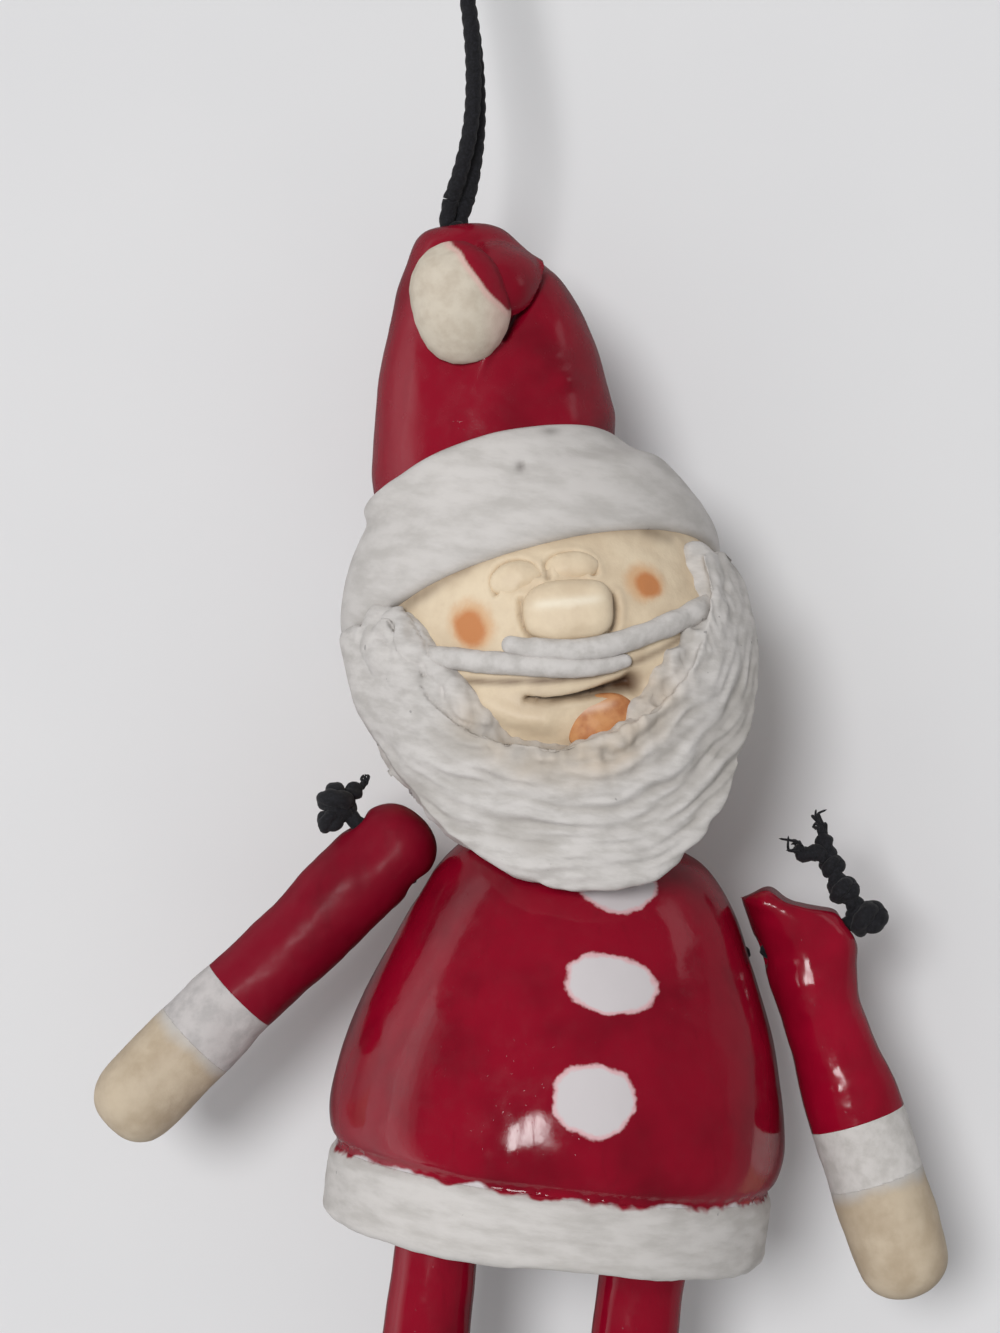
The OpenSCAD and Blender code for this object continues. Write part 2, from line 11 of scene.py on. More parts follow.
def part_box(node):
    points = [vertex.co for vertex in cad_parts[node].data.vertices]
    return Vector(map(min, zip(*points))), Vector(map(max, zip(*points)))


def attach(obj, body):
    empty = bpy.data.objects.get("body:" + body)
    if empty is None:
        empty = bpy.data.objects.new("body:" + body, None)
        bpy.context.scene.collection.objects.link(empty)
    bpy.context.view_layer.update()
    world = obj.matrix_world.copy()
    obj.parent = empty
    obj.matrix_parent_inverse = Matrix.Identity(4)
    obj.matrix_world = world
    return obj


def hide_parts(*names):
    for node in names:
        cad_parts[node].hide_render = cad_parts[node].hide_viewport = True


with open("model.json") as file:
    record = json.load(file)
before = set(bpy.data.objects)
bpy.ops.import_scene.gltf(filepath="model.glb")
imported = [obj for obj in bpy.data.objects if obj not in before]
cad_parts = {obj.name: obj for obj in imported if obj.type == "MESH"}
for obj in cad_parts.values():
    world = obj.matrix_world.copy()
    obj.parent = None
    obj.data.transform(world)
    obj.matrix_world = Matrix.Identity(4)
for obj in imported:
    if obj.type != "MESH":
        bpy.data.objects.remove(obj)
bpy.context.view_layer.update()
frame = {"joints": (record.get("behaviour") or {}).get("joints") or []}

MM = 0.001
TO_MM = 1000
scene = bpy.context.scene
scene.view_settings.view_transform = "Standard"


def add_object(name, data):
    piece = bpy.data.objects.new(name, data)
    scene.collection.objects.link(piece)
    return piece


# Camera: square on to the figure's front, turned a little about its own axis
IMAGE_W = 1000
IMAGE_H = 1333
VIEW_UP = np.array([0.1219, 0.0, 0.9925])
VIEW_RIGHT = np.array([0.9925, 0.0, -0.1219])
VIEW_AIM = np.array([-0.93, 0.0, -143.2])
VIEW_FAR = 420.0
PIXEL = 0.12
LENS = 94.5
SENSOR = 36

camera_data = bpy.data.cameras.new("photo_camera")
camera_data.lens = LENS
camera_data.sensor_width = SENSOR
camera = add_object("photo_camera", camera_data)
stand = Vector(VIEW_AIM * MM) + Vector((0, -VIEW_FAR * MM, 0))
turn = Matrix((VIEW_RIGHT, VIEW_UP, (0, -1, 0))).transposed()
camera.matrix_world = Matrix.Translation(stand) @ turn.to_4x4()
scene.camera = camera


def at_pixel(px, py, y):
    """The point in mm that the photograph shows at a pixel, at depth y."""
    near = PIXEL * (VIEW_FAR + y) / VIEW_FAR
    spot = VIEW_AIM + VIEW_RIGHT * (px - IMAGE_W / 2) * near + VIEW_UP * (IMAGE_H / 2 - py) * near
    return np.array([spot[0], y, spot[2]])


def pixels(points):
    """The photograph's pixel of each point, given in mm."""
    near = PIXEL * (VIEW_FAR + points[:, 1]) / VIEW_FAR
    flat = points - VIEW_AIM
    return IMAGE_W / 2 + flat @ VIEW_RIGHT / near, IMAGE_H / 2 - flat @ VIEW_UP / near


# Frames of the head, face, torso and arms, as in the part's source
CROWN = (0, 0, -90)
HEAD_LEAN = 6
HEAD_TURN = 7
TORSO_LEAN = 14
LEFT_SPLAY = 38.5
RIGHT_SPLAY = 25
HEAD_LEN = 74


def rotation(degrees, axis):
    return Matrix.Rotation(math.radians(degrees), 4, axis)


def turned_frame(origin, degrees):
    return Matrix.Translation(Vector(origin)) @ rotation(degrees, "Y")


head_frame = turned_frame(CROWN, -HEAD_LEAN)
face_frame = head_frame @ rotation(HEAD_TURN, "Z")
neck = head_frame @ Vector((0, 0, -HEAD_LEN))
torso_frame = turned_frame(neck, TORSO_LEAN)
joint_at = {j["name"]: np.array(j["pos_m"]) * TO_MM for j in frame["joints"]}
left_arm_frame = turned_frame(joint_at["left_arm_swing"], TORSO_LEAN + LEFT_SPLAY)
right_arm_frame = turned_frame(joint_at["right_arm_swing"], TORSO_LEAN - RIGHT_SPLAY)


def local(points, matrix):
    """Points in mm, seen from a frame."""
    back = np.array(matrix.inverted())
    return points @ back[:3, :3].T + back[:3, 3]


def placed(matrix, points):
    """Points of a frame, in the rest frame."""
    m = np.array(matrix)
    return np.array(points, float) @ m[:3, :3].T + m[:3, 3]


# Noise for the hand-made surfaces
def hashed(x, y, z, seed):
    """A fixed number from -1 to 1 for each whole point."""
    h = x * 374761393 + y * 668265263 + z * 1274126177 + seed * 974634777
    h = (h ^ (h >> 13)) * 1103515245
    h = h & 0x7FFFFFFF
    h = (h ^ (h >> 15)) * 12345791
    return (h & 0xFFFFFF) / 0xFFFFFF * 2 - 1


def noise_at(points, seed):
    cell = np.floor(points).astype(np.int64)
    part = points - cell
    part = part * part * (3 - 2 * part)
    total = np.zeros(len(points))
    for corner in range(8):
        step = np.array([corner & 1, corner >> 1 & 1, corner >> 2 & 1])
        weight = np.prod(np.where(step, part, 1 - part), axis=1)
        x, y, z = (cell + step).T
        total += weight * hashed(x, y, z, seed)
    return total


def rough_at(points, seed, octaves=2):
    total = np.zeros(len(points))
    size = 1.0
    for k in range(octaves):
        total += size * noise_at(points * 2 ** k + 17.3 * k, seed + k)
        size *= 0.5
    return total


def lumpy(points, *layers):
    """Noise of (height, size, seed) layers, in mm."""
    return sum(height * rough_at(points / size, seed) for height, size, seed in layers)


def soft_step(low, high, value):
    t = np.clip((value - low) / (high - low), 0, 1)
    return t * t * (3 - 2 * t)


def hump(distance, width):
    """1 where the distance is zero, falling off over the width."""
    return np.exp(-(distance / width) ** 2)


def dot(points, centre, wide, high):
    """A soft dot on the photograph, 1 at its centre."""
    px, py = pixels(points)
    return hump(px - centre[0], wide) * hump(py - centre[1], high)


# Mesh helpers
def shade_smooth(mesh):
    mesh.polygons.foreach_set("use_smooth", [True] * len(mesh.polygons))


def baked(piece):
    """The piece with its modifiers made real."""
    graph = bpy.context.evaluated_depsgraph_get()
    mesh = bpy.data.meshes.new_from_object(piece.evaluated_get(graph))
    old = piece.data
    piece.modifiers.clear()
    piece.data = mesh
    bpy.data.meshes.remove(old)
    shade_smooth(mesh)
    mesh.materials.clear()
    return piece


def ring_faces(rings, sides, closed):
    """Faces between rings of points. closed joins the last ring to the first."""
    faces = []
    for k in range(rings if closed else rings - 1):
        a = k * sides
        b = (k + 1) % rings * sides
        for j in range(sides):
            n = (j + 1) % sides
            faces.append((a + j, b + j, b + n, a + n))
    return faces


def mesh_of(points, faces):
    """A mesh of points in mm."""
    mesh = bpy.data.meshes.new("form")
    mesh.from_pydata((points * MM).tolist(), [], faces)
    mesh.update()
    return mesh


def piece_of(name, form):
    """A smooth piece made of a bmesh, which is used up."""
    mesh = bpy.data.meshes.new(name)
    form.to_mesh(mesh)
    form.free()
    shade_smooth(mesh)
    return add_object(name, mesh)


def joined(name, meshes):
    """One piece made of several meshes, which are used up."""
    form = bmesh.new()
    for mesh in meshes:
        form.from_mesh(mesh)
        bpy.data.meshes.remove(mesh)
    return piece_of(name, form)


def clay_of(name, meshes, voxel, rounds):
    """Several meshes melted into one closed clay form, with its edges softened."""
    piece = joined(name, meshes)
    remesh = piece.modifiers.new("remesh", "REMESH")
    remesh.mode = "VOXEL"
    remesh.voxel_size = voxel * MM
    soften = piece.modifiers.new("soften", "SMOOTH")
    soften.factor = 0.5
    soften.iterations = rounds
    return baked(piece)


def node_mesh(node):
    return bpy.data.objects[node].data.copy()


def clay(name, nodes, voxel, rounds):
    """One clay form made of CAD nodes."""
    return clay_of(name, [node_mesh(node) for node in nodes], voxel, rounds)


def vertex_rows(piece, what):
    """One row of three numbers for each vertex."""
    rows = np.empty(len(piece.data.vertices) * 3)
    piece.data.vertices.foreach_get(what, rows)
    return rows.reshape(-1, 3)


def points_of(piece):
    return vertex_rows(piece, "co") * TO_MM


def set_points(piece, points):
    piece.data.vertices.foreach_set("co", (points * MM).ravel())
    piece.data.update()


def push(piece, amount):
    """Move each vertex along its normal by amount(points, normals), in mm."""
    points = points_of(piece)
    normals = vertex_rows(piece, "normal")
    set_points(piece, points + normals * amount(points, normals)[:, None])


def roughen(piece, *layers):
    push(piece, lambda points, normals: lumpy(points, *layers))


PATH_STEP = 0.3


def smooth_path(route, step=PATH_STEP):
    """Catmull-Rom points about a step apart, in mm."""
    route = np.array(route, float)
    route = np.vstack([2 * route[0] - route[1], route, 2 * route[-1] - route[-2]])
    out = []
    for k in range(1, len(route) - 2):
        a, b, c, d = route[k - 1:k + 3]
        count = max(2, int(np.linalg.norm(c - b) / step))
        for t in np.arange(count)[:, None] / count:
            out.append(0.5 * (2 * b + (c - a) * t + (2 * a - 5 * b + 4 * c - d) * t ** 2
                              + (3 * b - a - 3 * c + d) * t ** 3))
    out.append(route[-2])
    return np.array(out)


def tube_mesh(path, radius, sides=20, closed=False, twist=0.0, plies=0, depth=0.0, blunt=False):
    """A tube along a path in mm. radius is a number or one for each point. plies make a twisted rope."""
    count = len(path)
    ahead = np.roll(path, -1, axis=0) - np.roll(path, 1, axis=0)
    if not closed:
        ahead[0] = path[1] - path[0]
        ahead[-1] = path[-1] - path[-2]
    ahead /= np.linalg.norm(ahead, axis=1)[:, None]
    side = np.cross(ahead[0], [0.3, 0.9, 0.2])
    side /= np.linalg.norm(side)
    radius = np.broadcast_to(np.asarray(radius, float), (count,)).copy()
    spans = np.linalg.norm(np.diff(path, axis=0), axis=1)
    along = np.concatenate([[0], np.cumsum(spans)])
    if not closed and not blunt:
        for end in (along, along[-1] - along):
            near = np.clip(end / np.maximum(radius, 1e-6), 0, 1)
            radius = radius * np.sqrt(np.clip(1 - (1 - near) ** 2, 0.0025, 1))
    angles = np.arange(sides) * 2 * math.pi / sides
    verts = []
    for k in range(count):
        side = side - ahead[k] * (side @ ahead[k])
        side /= np.linalg.norm(side)
        other = np.cross(ahead[k], side)
        size = np.full(sides, radius[k])
        if plies:
            swing = plies * (angles - 2 * math.pi * along[k] * twist) / 2
            size = size * (1 - depth + depth * np.abs(np.cos(swing)))
        ring = np.cos(angles)[:, None] * side + np.sin(angles)[:, None] * other
        verts.append(path[k] + ring * size[:, None])
    faces = [(a, d, c, b) for a, b, c, d in ring_faces(count, sides, closed)]
    if not closed:
        faces.append(tuple(range(sides - 1, -1, -1)))
        faces.append(tuple(range((count - 1) * sides, count * sides)))
    return mesh_of(np.vstack(verts), faces)


def settle(piece, body, slot, material, *nodes):
    """Put the piece on its body, give it its finish, and let it stand for its nodes."""
    piece.data.materials.clear()
    piece.data.materials.append(material)
    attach(piece, body)
    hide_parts(*nodes)


# Materials
class Nodes:
    """Shader nodes, added socket by socket."""

    def __init__(self, tree):
        self.tree = tree

    def add(self, kind, out=0, settings=None, **sockets):
        node = self.tree.nodes.new(kind)
        for key, value in (settings or {}).items():
            setattr(node, key, value)
        for key, value in sockets.items():
            where = int(key[1:]) if key[0] == "i" and key[1:].isdigit() else key.replace("_", " ")
            socket = node.inputs[where]
            if isinstance(value, bpy.types.NodeSocket):
                self.tree.links.new(value, socket)
            else:
                socket.default_value = value
        return node.outputs[out]

    def parts(self, vector):
        node = self.tree.nodes.new("ShaderNodeSeparateXYZ")
        self.tree.links.new(vector, node.inputs[0])
        return node.outputs[0], node.outputs[1], node.outputs[2]


class Paint(Nodes):
    """A node material."""

    SPOT_REACH = 9.0

    def __init__(self, name):
        self.material = bpy.data.materials.new(name)
        self.material.use_nodes = True
        super().__init__(self.material.node_tree)
        self.tree.nodes.clear()
        self.out = self.tree.nodes.new("ShaderNodeOutputMaterial")
        self.place = self.add("ShaderNodeTexCoord", out="Object")

    def math(self, kind, a, b=0.0):
        return self.add("ShaderNodeMath", settings={"operation": kind}, i0=a, i1=b)

    def within(self, frame_mm=Matrix(), scale=(1, 1, 1)):
        """Rest coordinates in mm in a frame, then scaled."""
        back = frame_mm.inverted()
        flat = self.add("ShaderNodeMapping", Vector=self.place, Location=back.translation,
                        Rotation=back.to_euler(), Scale=(TO_MM, TO_MM, TO_MM))
        if tuple(scale) == (1, 1, 1):
            return flat
        return self.add("ShaderNodeMapping", Vector=flat, Scale=scale)

    def noise(self, where, scale, detail=3.0, roughness=0.5):
        return self.add("ShaderNodeTexNoise", Vector=where, Scale=scale, Detail=detail, Roughness=roughness)

    def ranged(self, value, low, high, to_low=0.0, to_high=1.0):
        return self.add("ShaderNodeMapRange", settings={"interpolation_type": "SMOOTHSTEP"}, i0=value,
                        i1=low, i2=high, i3=to_low, i4=to_high)

    def mix(self, amount, a, b):
        return self.add("ShaderNodeMix", out=2, settings={"data_type": "RGBA"}, i0=amount, i6=a, i7=b)

    def amount(self, name):
        """An amount painted on the mesh's vertices."""
        return self.add("ShaderNodeAttribute", out="Fac", settings={"attribute_name": name})

    def bump(self, height, strength, distance, under=None):
        sockets = {"Height": height, "Strength": strength, "Distance": distance * MM}
        if under is not None:
            sockets["Normal"] = under
        return self.add("ShaderNodeBump", **sockets)

    def spot(self, px, py, y, wide, high, degrees, soft, ragged, grain=0.45):
        """A painted patch, centred where the photograph shows it. wide and high are half sizes in mm."""
        centre = at_pixel(px, py, y)
        axes = Matrix((VIEW_RIGHT, (0, 1, 0), VIEW_UP)).transposed().to_4x4()
        where = self.within(Matrix.Translation(Vector(centre)) @ axes @ rotation(-degrees, "Y"))
        x, depth, z = self.parts(where)
        x = self.math("DIVIDE", x, wide)
        z = self.math("DIVIDE", z, high)
        far = self.math("SQRT", self.math("ADD", self.math("MULTIPLY", x, x), self.math("MULTIPLY", z, z)))
        wander = self.math("SUBTRACT", self.noise(where, grain, 4.0, 0.6), 0.5)
        far = self.math("ADD", far, self.math("MULTIPLY", wander, 2 * ragged))
        inside = self.ranged(far, 1 - soft, 1 + soft, 1.0, 0.0)
        return self.math("MULTIPLY", inside, self.math("LESS_THAN", depth, self.SPOT_REACH))

    def finish(self, colour, roughness, normal=None, **more):
        sockets = {"Base_Color": colour, "Roughness": roughness}
        if normal is not None:
            sockets["Normal"] = normal
        sockets.update(more)
        shader = self.add("ShaderNodeBsdfPrincipled", out="BSDF", **sockets)
        self.tree.links.new(shader, self.out.inputs["Surface"])
        return self.material


def tone(r, g, b):
    """A screen colour, 0 to 255, as a linear one."""
    def line(v):
        v /= 255
        return v / 12.92 if v <= 0.04045 else ((v + 0.055) / 1.055) ** 2.4
    return (line(r), line(g), line(b), 1.0)


def washed(**tones):
    """Patches for a material: the colour of each painted amount."""
    return lambda paint: [(paint.amount(name), colour) for name, colour in tones.items()]


GLAZE_GLOSS = (0.09, 0.2)


def glaze_parts(paint, deep, light, gloss=GLAZE_GLOSS):
    """Colour, roughness and normal of a thick brushed glaze."""
    where = paint.within()
    cloud = paint.ranged(paint.noise(where, 0.07, 3.0, 0.55), 0.2, 0.6)
    colour = paint.mix(cloud, deep, light)
    streak = paint.noise(paint.within(scale=(0.5, 0.5, 0.12)), 1.0, 4.0, 0.6)
    colour = paint.mix(paint.ranged(streak, 0.55, 0.8, 0.0, 0.3), colour, deep)
    swell = paint.bump(paint.noise(where, 0.16, 2.0, 0.4), 0.16, 0.5)
    peel = paint.bump(paint.noise(where, 1.3, 2.0, 0.5), 0.08, 0.12, swell)
    pits = paint.ranged(paint.noise(where, 2.6, 1.0, 0.4), 0.2, 0.27)
    normal = paint.bump(pits, 0.18, 0.12, peel)
    rough = paint.ranged(paint.noise(where, 0.5, 3.0), 0.35, 0.75, *gloss)
    return colour, rough, normal


RED_DEEP = tone(106, 4, 24)
RED = tone(140, 6, 34)
WHITE = tone(204, 200, 197)
WHITE_SHADE = tone(186, 182, 178)
CREAM = tone(206, 196, 180)
CREAM_SHADE = tone(194, 182, 165)
SKIN = tone(226, 208, 180)
SKIN_SHADE = tone(212, 192, 164)
HAND = tone(196, 180, 157)
HAND_SHADE = tone(178, 160, 136)
# The last colour is the brown of the face's painted shade.
SHADE_BROWN = tone(92, 64, 44)


def red_glaze(name, over=washed(), reds=(RED_DEEP, RED), gloss=GLAZE_GLOSS, shine=0.5):
    """Red glaze. over(paint) gives (amount, colour) patches that are laid over it."""
    paint = Paint(name)
    colour, rough, normal = glaze_parts(paint, *reds, gloss)
    for amount, patch in over(paint):
        colour = paint.mix(amount, colour, patch)
        rough = paint.math("ADD", rough, paint.math("MULTIPLY", amount, 0.3))
    return paint.finish(colour, rough, normal, IOR=1.52, Specular_IOR_Level=shine)


def matt_white(name, grain=(1, 1, 1), over=washed(), low=WHITE_SHADE, high=WHITE):
    """Brushed matt white over clay: streaks, fine grit and a few grey specks."""
    paint = Paint(name)
    where = paint.within()
    streak = paint.noise(paint.within(torso_frame, grain), 0.5, 5.0, 0.6)
    colour = paint.mix(paint.ranged(streak, 0.3, 0.65), low, high)
    specks = paint.ranged(paint.noise(where, 0.9, 1.0, 0.3), 0.79, 0.81)
    colour = paint.mix(paint.math("MULTIPLY", specks, 0.5), colour, tone(112, 108, 108))
    for amount, patch in over(paint):
        colour = paint.mix(amount, colour, patch)
    strokes = paint.bump(streak, 0.25, 0.25)
    grit = paint.bump(paint.noise(where, 3.2, 3.0, 0.6), 0.22, 0.12, strokes)
    rough = paint.ranged(streak, 0.3, 0.7, 0.62, 0.82)
    return paint.finish(colour, rough, grit, Specular_IOR_Level=0.28)


def skin(name, over=washed(), low=SKIN_SHADE, high=SKIN):
    """Smooth skin coloured paint, clouded, with a fine grit."""
    paint = Paint(name)
    where = paint.within()
    cloud = paint.noise(where, 0.22, 4.0, 0.6)
    colour = paint.mix(paint.ranged(cloud, 0.3, 0.7), low, high)
    for amount, patch in over(paint):
        colour = paint.mix(amount, colour, patch)
    soft = paint.bump(paint.noise(where, 0.7, 3.0, 0.5), 0.25, 0.3)
    grit = paint.bump(paint.noise(where, 3.0, 3.0, 0.6), 0.2, 0.12, soft)
    rough = paint.ranged(cloud, 0.3, 0.7, 0.42, 0.62)
    return paint.finish(colour, rough, grit, Specular_IOR_Level=0.45)


def cord_fibre(name):
    """Black twisted fibre with a little fuzz."""
    paint = Paint(name)
    where = paint.within()
    hair = paint.noise(where, 4.5, 4.0, 0.7)
    colour = paint.mix(paint.ranged(hair, 0.35, 0.8), tone(17, 17, 20), tone(46, 46, 52))
    fuzz = paint.bump(hair, 0.6, 0.12)
    rough = paint.ranged(hair, 0.3, 0.7, 0.6, 0.9)
    return paint.finish(colour, rough, fuzz, Specular_IOR_Level=0.3, Sheen_Weight=0.08)


cord_look = cord_fibre("black_cord")

# Hanging cord: one doubled cord, from the crown knot up over the hanging point and back
LOOP_ROUTE = [(0, -0.6, -87), (1.5, -0.9, -84), (3.2, -1.1, -79.5), (4.3, -1.3, -74.5), (4.9, -1.7, -68),
              (4.8, -2.2, -59), (3.9, -2.9, -46), (2.6, -3.6, -32), (1.2, -4.3, -18), (0.4, -4.6, -9),
              (0, -4.2, -3.4), (0, -2.4, 0.1), (0, 0, 1), (0, 2.4, 0.1), (0, 4.2, -3.4), (0.4, 4.6, -9),
              (1.2, 4.3, -18), (2.6, 3.6, -32), (3.9, 2.9, -46), (4.8, 2.4, -59), (5.1, 1.9, -68),
              (4.8, 1.5, -74.5), (4.1, 1.4, -79.5), (3, 1.2, -84), (2, 0.9, -87)]
CORD_D = 2.0
KNOT_D = 5.4
ROPE = dict(plies=3, depth=0.16, twist=0.2)
loop_path = smooth_path(LOOP_ROUTE)
hanging = joined("hanging_cord_twisted", [tube_mesh(loop_path, CORD_D / 2, blunt=True, **ROPE)])
settle(hanging, "hanger", "cord", cord_look, "hanging_cord")


def rope_mesh(route, blunt=False):
    return tube_mesh(smooth_path(route), CORD_D / 2, blunt=blunt, **ROPE)


def knot_mesh(centre, frame_mm, size, thick=CORD_D):
    """A tight overhand knot of the cord, in a ball of that size."""
    t = np.linspace(0, 2 * math.pi, 150, endpoint=False)
    reach = 2 + np.cos(3 * t)
    lace = np.stack([reach * np.cos(2 * t), reach * np.sin(2 * t), 1.7 * np.sin(3 * t)], axis=1)
    lace *= (size / 2 - thick / 2) / 3
    lace = placed(frame_mm.to_3x3().to_4x4(), lace) + centre
    return tube_mesh(lace, thick / 2, sides=18, closed=True, **ROPE)


def frayed_mesh(start, ahead, count, length, seed, loose=1.0):
    """Loose fibres that leave a cord's cut end."""
    ahead = np.array(ahead, float)
    meshes = []
    for k in range(count):
        wild = np.array([hashed(k, n, 5, seed) for n in range(6)])
        bend = ahead * length * (0.75 + 0.35 * wild[0])
        route = [start - ahead * 0.6 + 0.4 * wild[1:4], start + 0.35 * bend + 0.55 * loose * wild[1:4],
                 start + 0.7 * bend + loose * wild[2:5], start + bend + 1.5 * loose * wild[3:6]]
        path = smooth_path(route)
        meshes.append(tube_mesh(path, np.linspace(0.3, 0.12, len(path)), sides=6))
    return meshes


# Crown: the doubled cord comes out of the hat's hole
stubs = []
for end, lean in ((LOOP_ROUTE[0], (-0.75, -0.4, 0)), (LOOP_ROUTE[-1], (0.85, 0.4, 0))):
    route = [placed(head_frame, np.array(lean) + (0, 0, h)) for h in (-6, -3, 0.2)] + [np.array(end)]
    stubs.append(rope_mesh(route, blunt=True))
stubs.append(knot_mesh(placed(head_frame, (0, 0, -1.2)), head_frame, size=4.2))
crown_knot = joined("crown_knot_strands", stubs)
settle(crown_knot, "head", "cord", cord_look, "crown_knot")


def cut_piece(name, whole, frame_mm, top, foot):
    """The slice of a clay form between two depths of a frame, closed at its ends."""
    form = bmesh.new()
    form.from_mesh(whole.data)
    up = frame_mm.to_3x3() @ Vector((0, 0, 1))
    for depth, side in ((top, 1), (foot, -1)):
        if depth is None:
            continue
        spot = Vector(placed(frame_mm, (0, 0, -depth))) * MM
        parts = form.verts[:] + form.edges[:] + form.faces[:]
        bmesh.ops.bisect_plane(form, geom=parts, plane_co=spot, plane_no=up * side, clear_outer=True)
        rim = [e for e in form.edges if e.is_boundary]
        bmesh.ops.triangle_fill(form, edges=rim, use_beauty=True)
    return piece_of(name, form)


# Where the photograph's lines meet the solids
def skin_of(*nodes):
    """The surface of CAD nodes, to be met by rays."""
    form = bmesh.new()
    for node in nodes:
        form.from_mesh(bpy.data.objects[node].data)
    tree = BVHTree.FromBMesh(form)
    form.free()
    return tree


head_skin = skin_of("head")


def on_skin(px, py, lift):
    """The point in mm on the head that the camera sees at a pixel, lifted towards it."""
    aim = Vector(at_pixel(px, py, 0.0)) * MM
    way = (aim - camera.location).normalized()
    hit = head_skin.ray_cast(camera.location, way)[0]
    if hit is None:
        hit = head_skin.find_nearest(aim)[0]
    return np.array(hit - way * lift * MM) * TO_MM


def roll_mesh(line, lift, radius, seed, lumps):
    """A clay roll laid along a line of pixels, on the head."""
    path = smooth_path([on_skin(px, py, lift) for px, py in line])
    along = np.arange(len(path)) * PATH_STEP
    wander = rough_at(np.stack([along / 2.2, along * 0, along * 0 + seed], axis=1), seed)
    share = np.linspace(0, 1, len(path))
    radius = np.interp(share, np.linspace(0, 1, len(radius)), radius) * (1 + lumps * wander)
    return tube_mesh(path, radius)


def wash(piece, name, values, most=1):
    """A painted amount at each vertex, for the material."""
    layer = piece.data.attributes.new(name, "FLOAT", "POINT")
    layer.data.foreach_set("value", (most * np.clip(values, 0, 1)).astype(np.float32))


def line_distance(px, py, line):
    """Pixels from each point to a line of pixels, and the share of the way along it."""
    best = np.full(len(px), 1e9)
    share = np.zeros(len(px))
    for k, (a, b) in enumerate(zip(line[:-1], line[1:])):
        d = np.subtract(b, a)
        t = np.clip(((px - a[0]) * d[0] + (py - a[1]) * d[1]) / (d @ d), 0, 1)
        far = np.hypot(px - a[0] - t * d[0], py - a[1] - t * d[1])
        share = np.where(far < best, (k + t) / (len(line) - 1), share)
        best = np.minimum(far, best)
    return best, share


FRONT_Y = -2


def in_front(points):
    """True for the points on the figure's front half."""
    return points[:, 1] < FRONT_Y


# Hat: its edge runs down under the band, and its end is folded forward over the front
BAND_MIDDLE = 38.7
BAND_SLOPE = 18
BAND_H = 14.8
band_plane = face_frame @ Matrix.Translation((0, 0, -BAND_MIDDLE)) @ rotation(-BAND_SLOPE, "X")
skull = clay("skull_form", ["head"], voxel=0.5, rounds=12)
push(skull, lambda p, n: np.full(len(p), 0.12))
hat_edge = cut_piece("hat_edge_form", skull, band_plane, None, 0)
FOLD = [(3.4, -1, -7), (3.2, -6, -7.4), (1.6, -10, -9.4), (0, -12, -12)]
CREASE = [(531, 283), (523, 302), (513, 321), (505, 335)]
fold_path = smooth_path(placed(head_frame, FOLD), step=0.4)
fold_size = np.interp(np.linspace(0, 1, len(fold_path)), (0, 0.3, 0.75, 1), (3.4, 3.9, 3.9, 3.4))
hat_forms = [node_mesh("hat"), hat_edge.data.copy(), tube_mesh(fold_path, fold_size)]
hat = clay_of("hat_glazed", hat_forms, voxel=0.35, rounds=24)
bpy.data.objects.remove(hat_edge)
bpy.data.objects.remove(skull)


def hat_lumps(points, normals):
    px, py = pixels(points)
    front = soft_step(0, -6, points[:, 1])
    dents = 0.5 * dot(points, (545, 362), 14, 9) + 0.4 * dot(points, (560, 384), 12, 8)
    far = line_distance(px, py, CREASE)[0]
    above = ((CREASE[0][0] - px) * 67 + (CREASE[0][1] - py) * 34) / 75
    fold = soft_step(-1, 6, above) * hump(far, 32) * soft_step(228, 262, py)
    dents += 1.5 * fold - 0.8 * hump(far, 4.5)
    p = local(points, head_frame)
    free = soft_step(-31, -26, p[:, 2])
    right = soft_step(2, 9, p[:, 0]) * soft_step(-3, -10, p[:, 2])
    swell = right * (0.9 + 1.2 * hump(p[:, 2] + 14, 7)) * (normals[:, 0] > -0.2)
    swell -= 1.3 * soft_step(-3, -8, p[:, 0]) * soft_step(-18, -7, p[:, 2]) * (normals[:, 0] < 0.2)
    lumps = lumpy(points, (0.35, 12, 3), (0.05, 3, 4)) + front * dents
    return free * (lumps + swell) - 0.25 * (1 - free)


points = points_of(hat)
# Painted shade: dark red along the fold's crease, on the front of the hat.
far = line_distance(*pixels(points), CREASE)[0]
wash(hat, "crease", 0.85 * hump(far, 4) * soft_step(0, -4, points[:, 1]))
push(hat, hat_lumps)
hat_look = red_glaze("hat_red_glaze", washed(crease=tone(48, 2, 11)), gloss=(0.18, 0.3))
settle(hat, "head", "red_glaze", hat_look, "hat", "hat_tip")

# Pompom: cream, with the red of the fold painted over its upper right
pompom = clay("pompom_clay", ["pompom"], voxel=0.25, rounds=10)
roughen(pompom, (0.3, 6, 9), (0.05, 1.6, 10))
points = points_of(pompom)
px, py = pixels(points)
across = (px - 458) * 0.75 - (py - 252) * 0.66 + 5 * rough_at(points / 4, 11)
wash(pompom, "red", soft_step(-1.5, 1.5, across))
wash(pompom, "pink", hump(across + 3, 3.5) + 0.55 * soft_step(478, 505, px), most=0.55)
pompom_coat = washed(pink=tone(226, 170, 166), red=RED)
pompom_look = matt_white("pompom_cream", over=pompom_coat, low=CREAM_SHADE, high=CREAM)
settle(pompom, "head", "cream", pompom_look, "pompom")

# Fur band: a thick roll round the hat and the head, with rounded edges
BAND_DENT = (521, 466)
RAY_START = 60


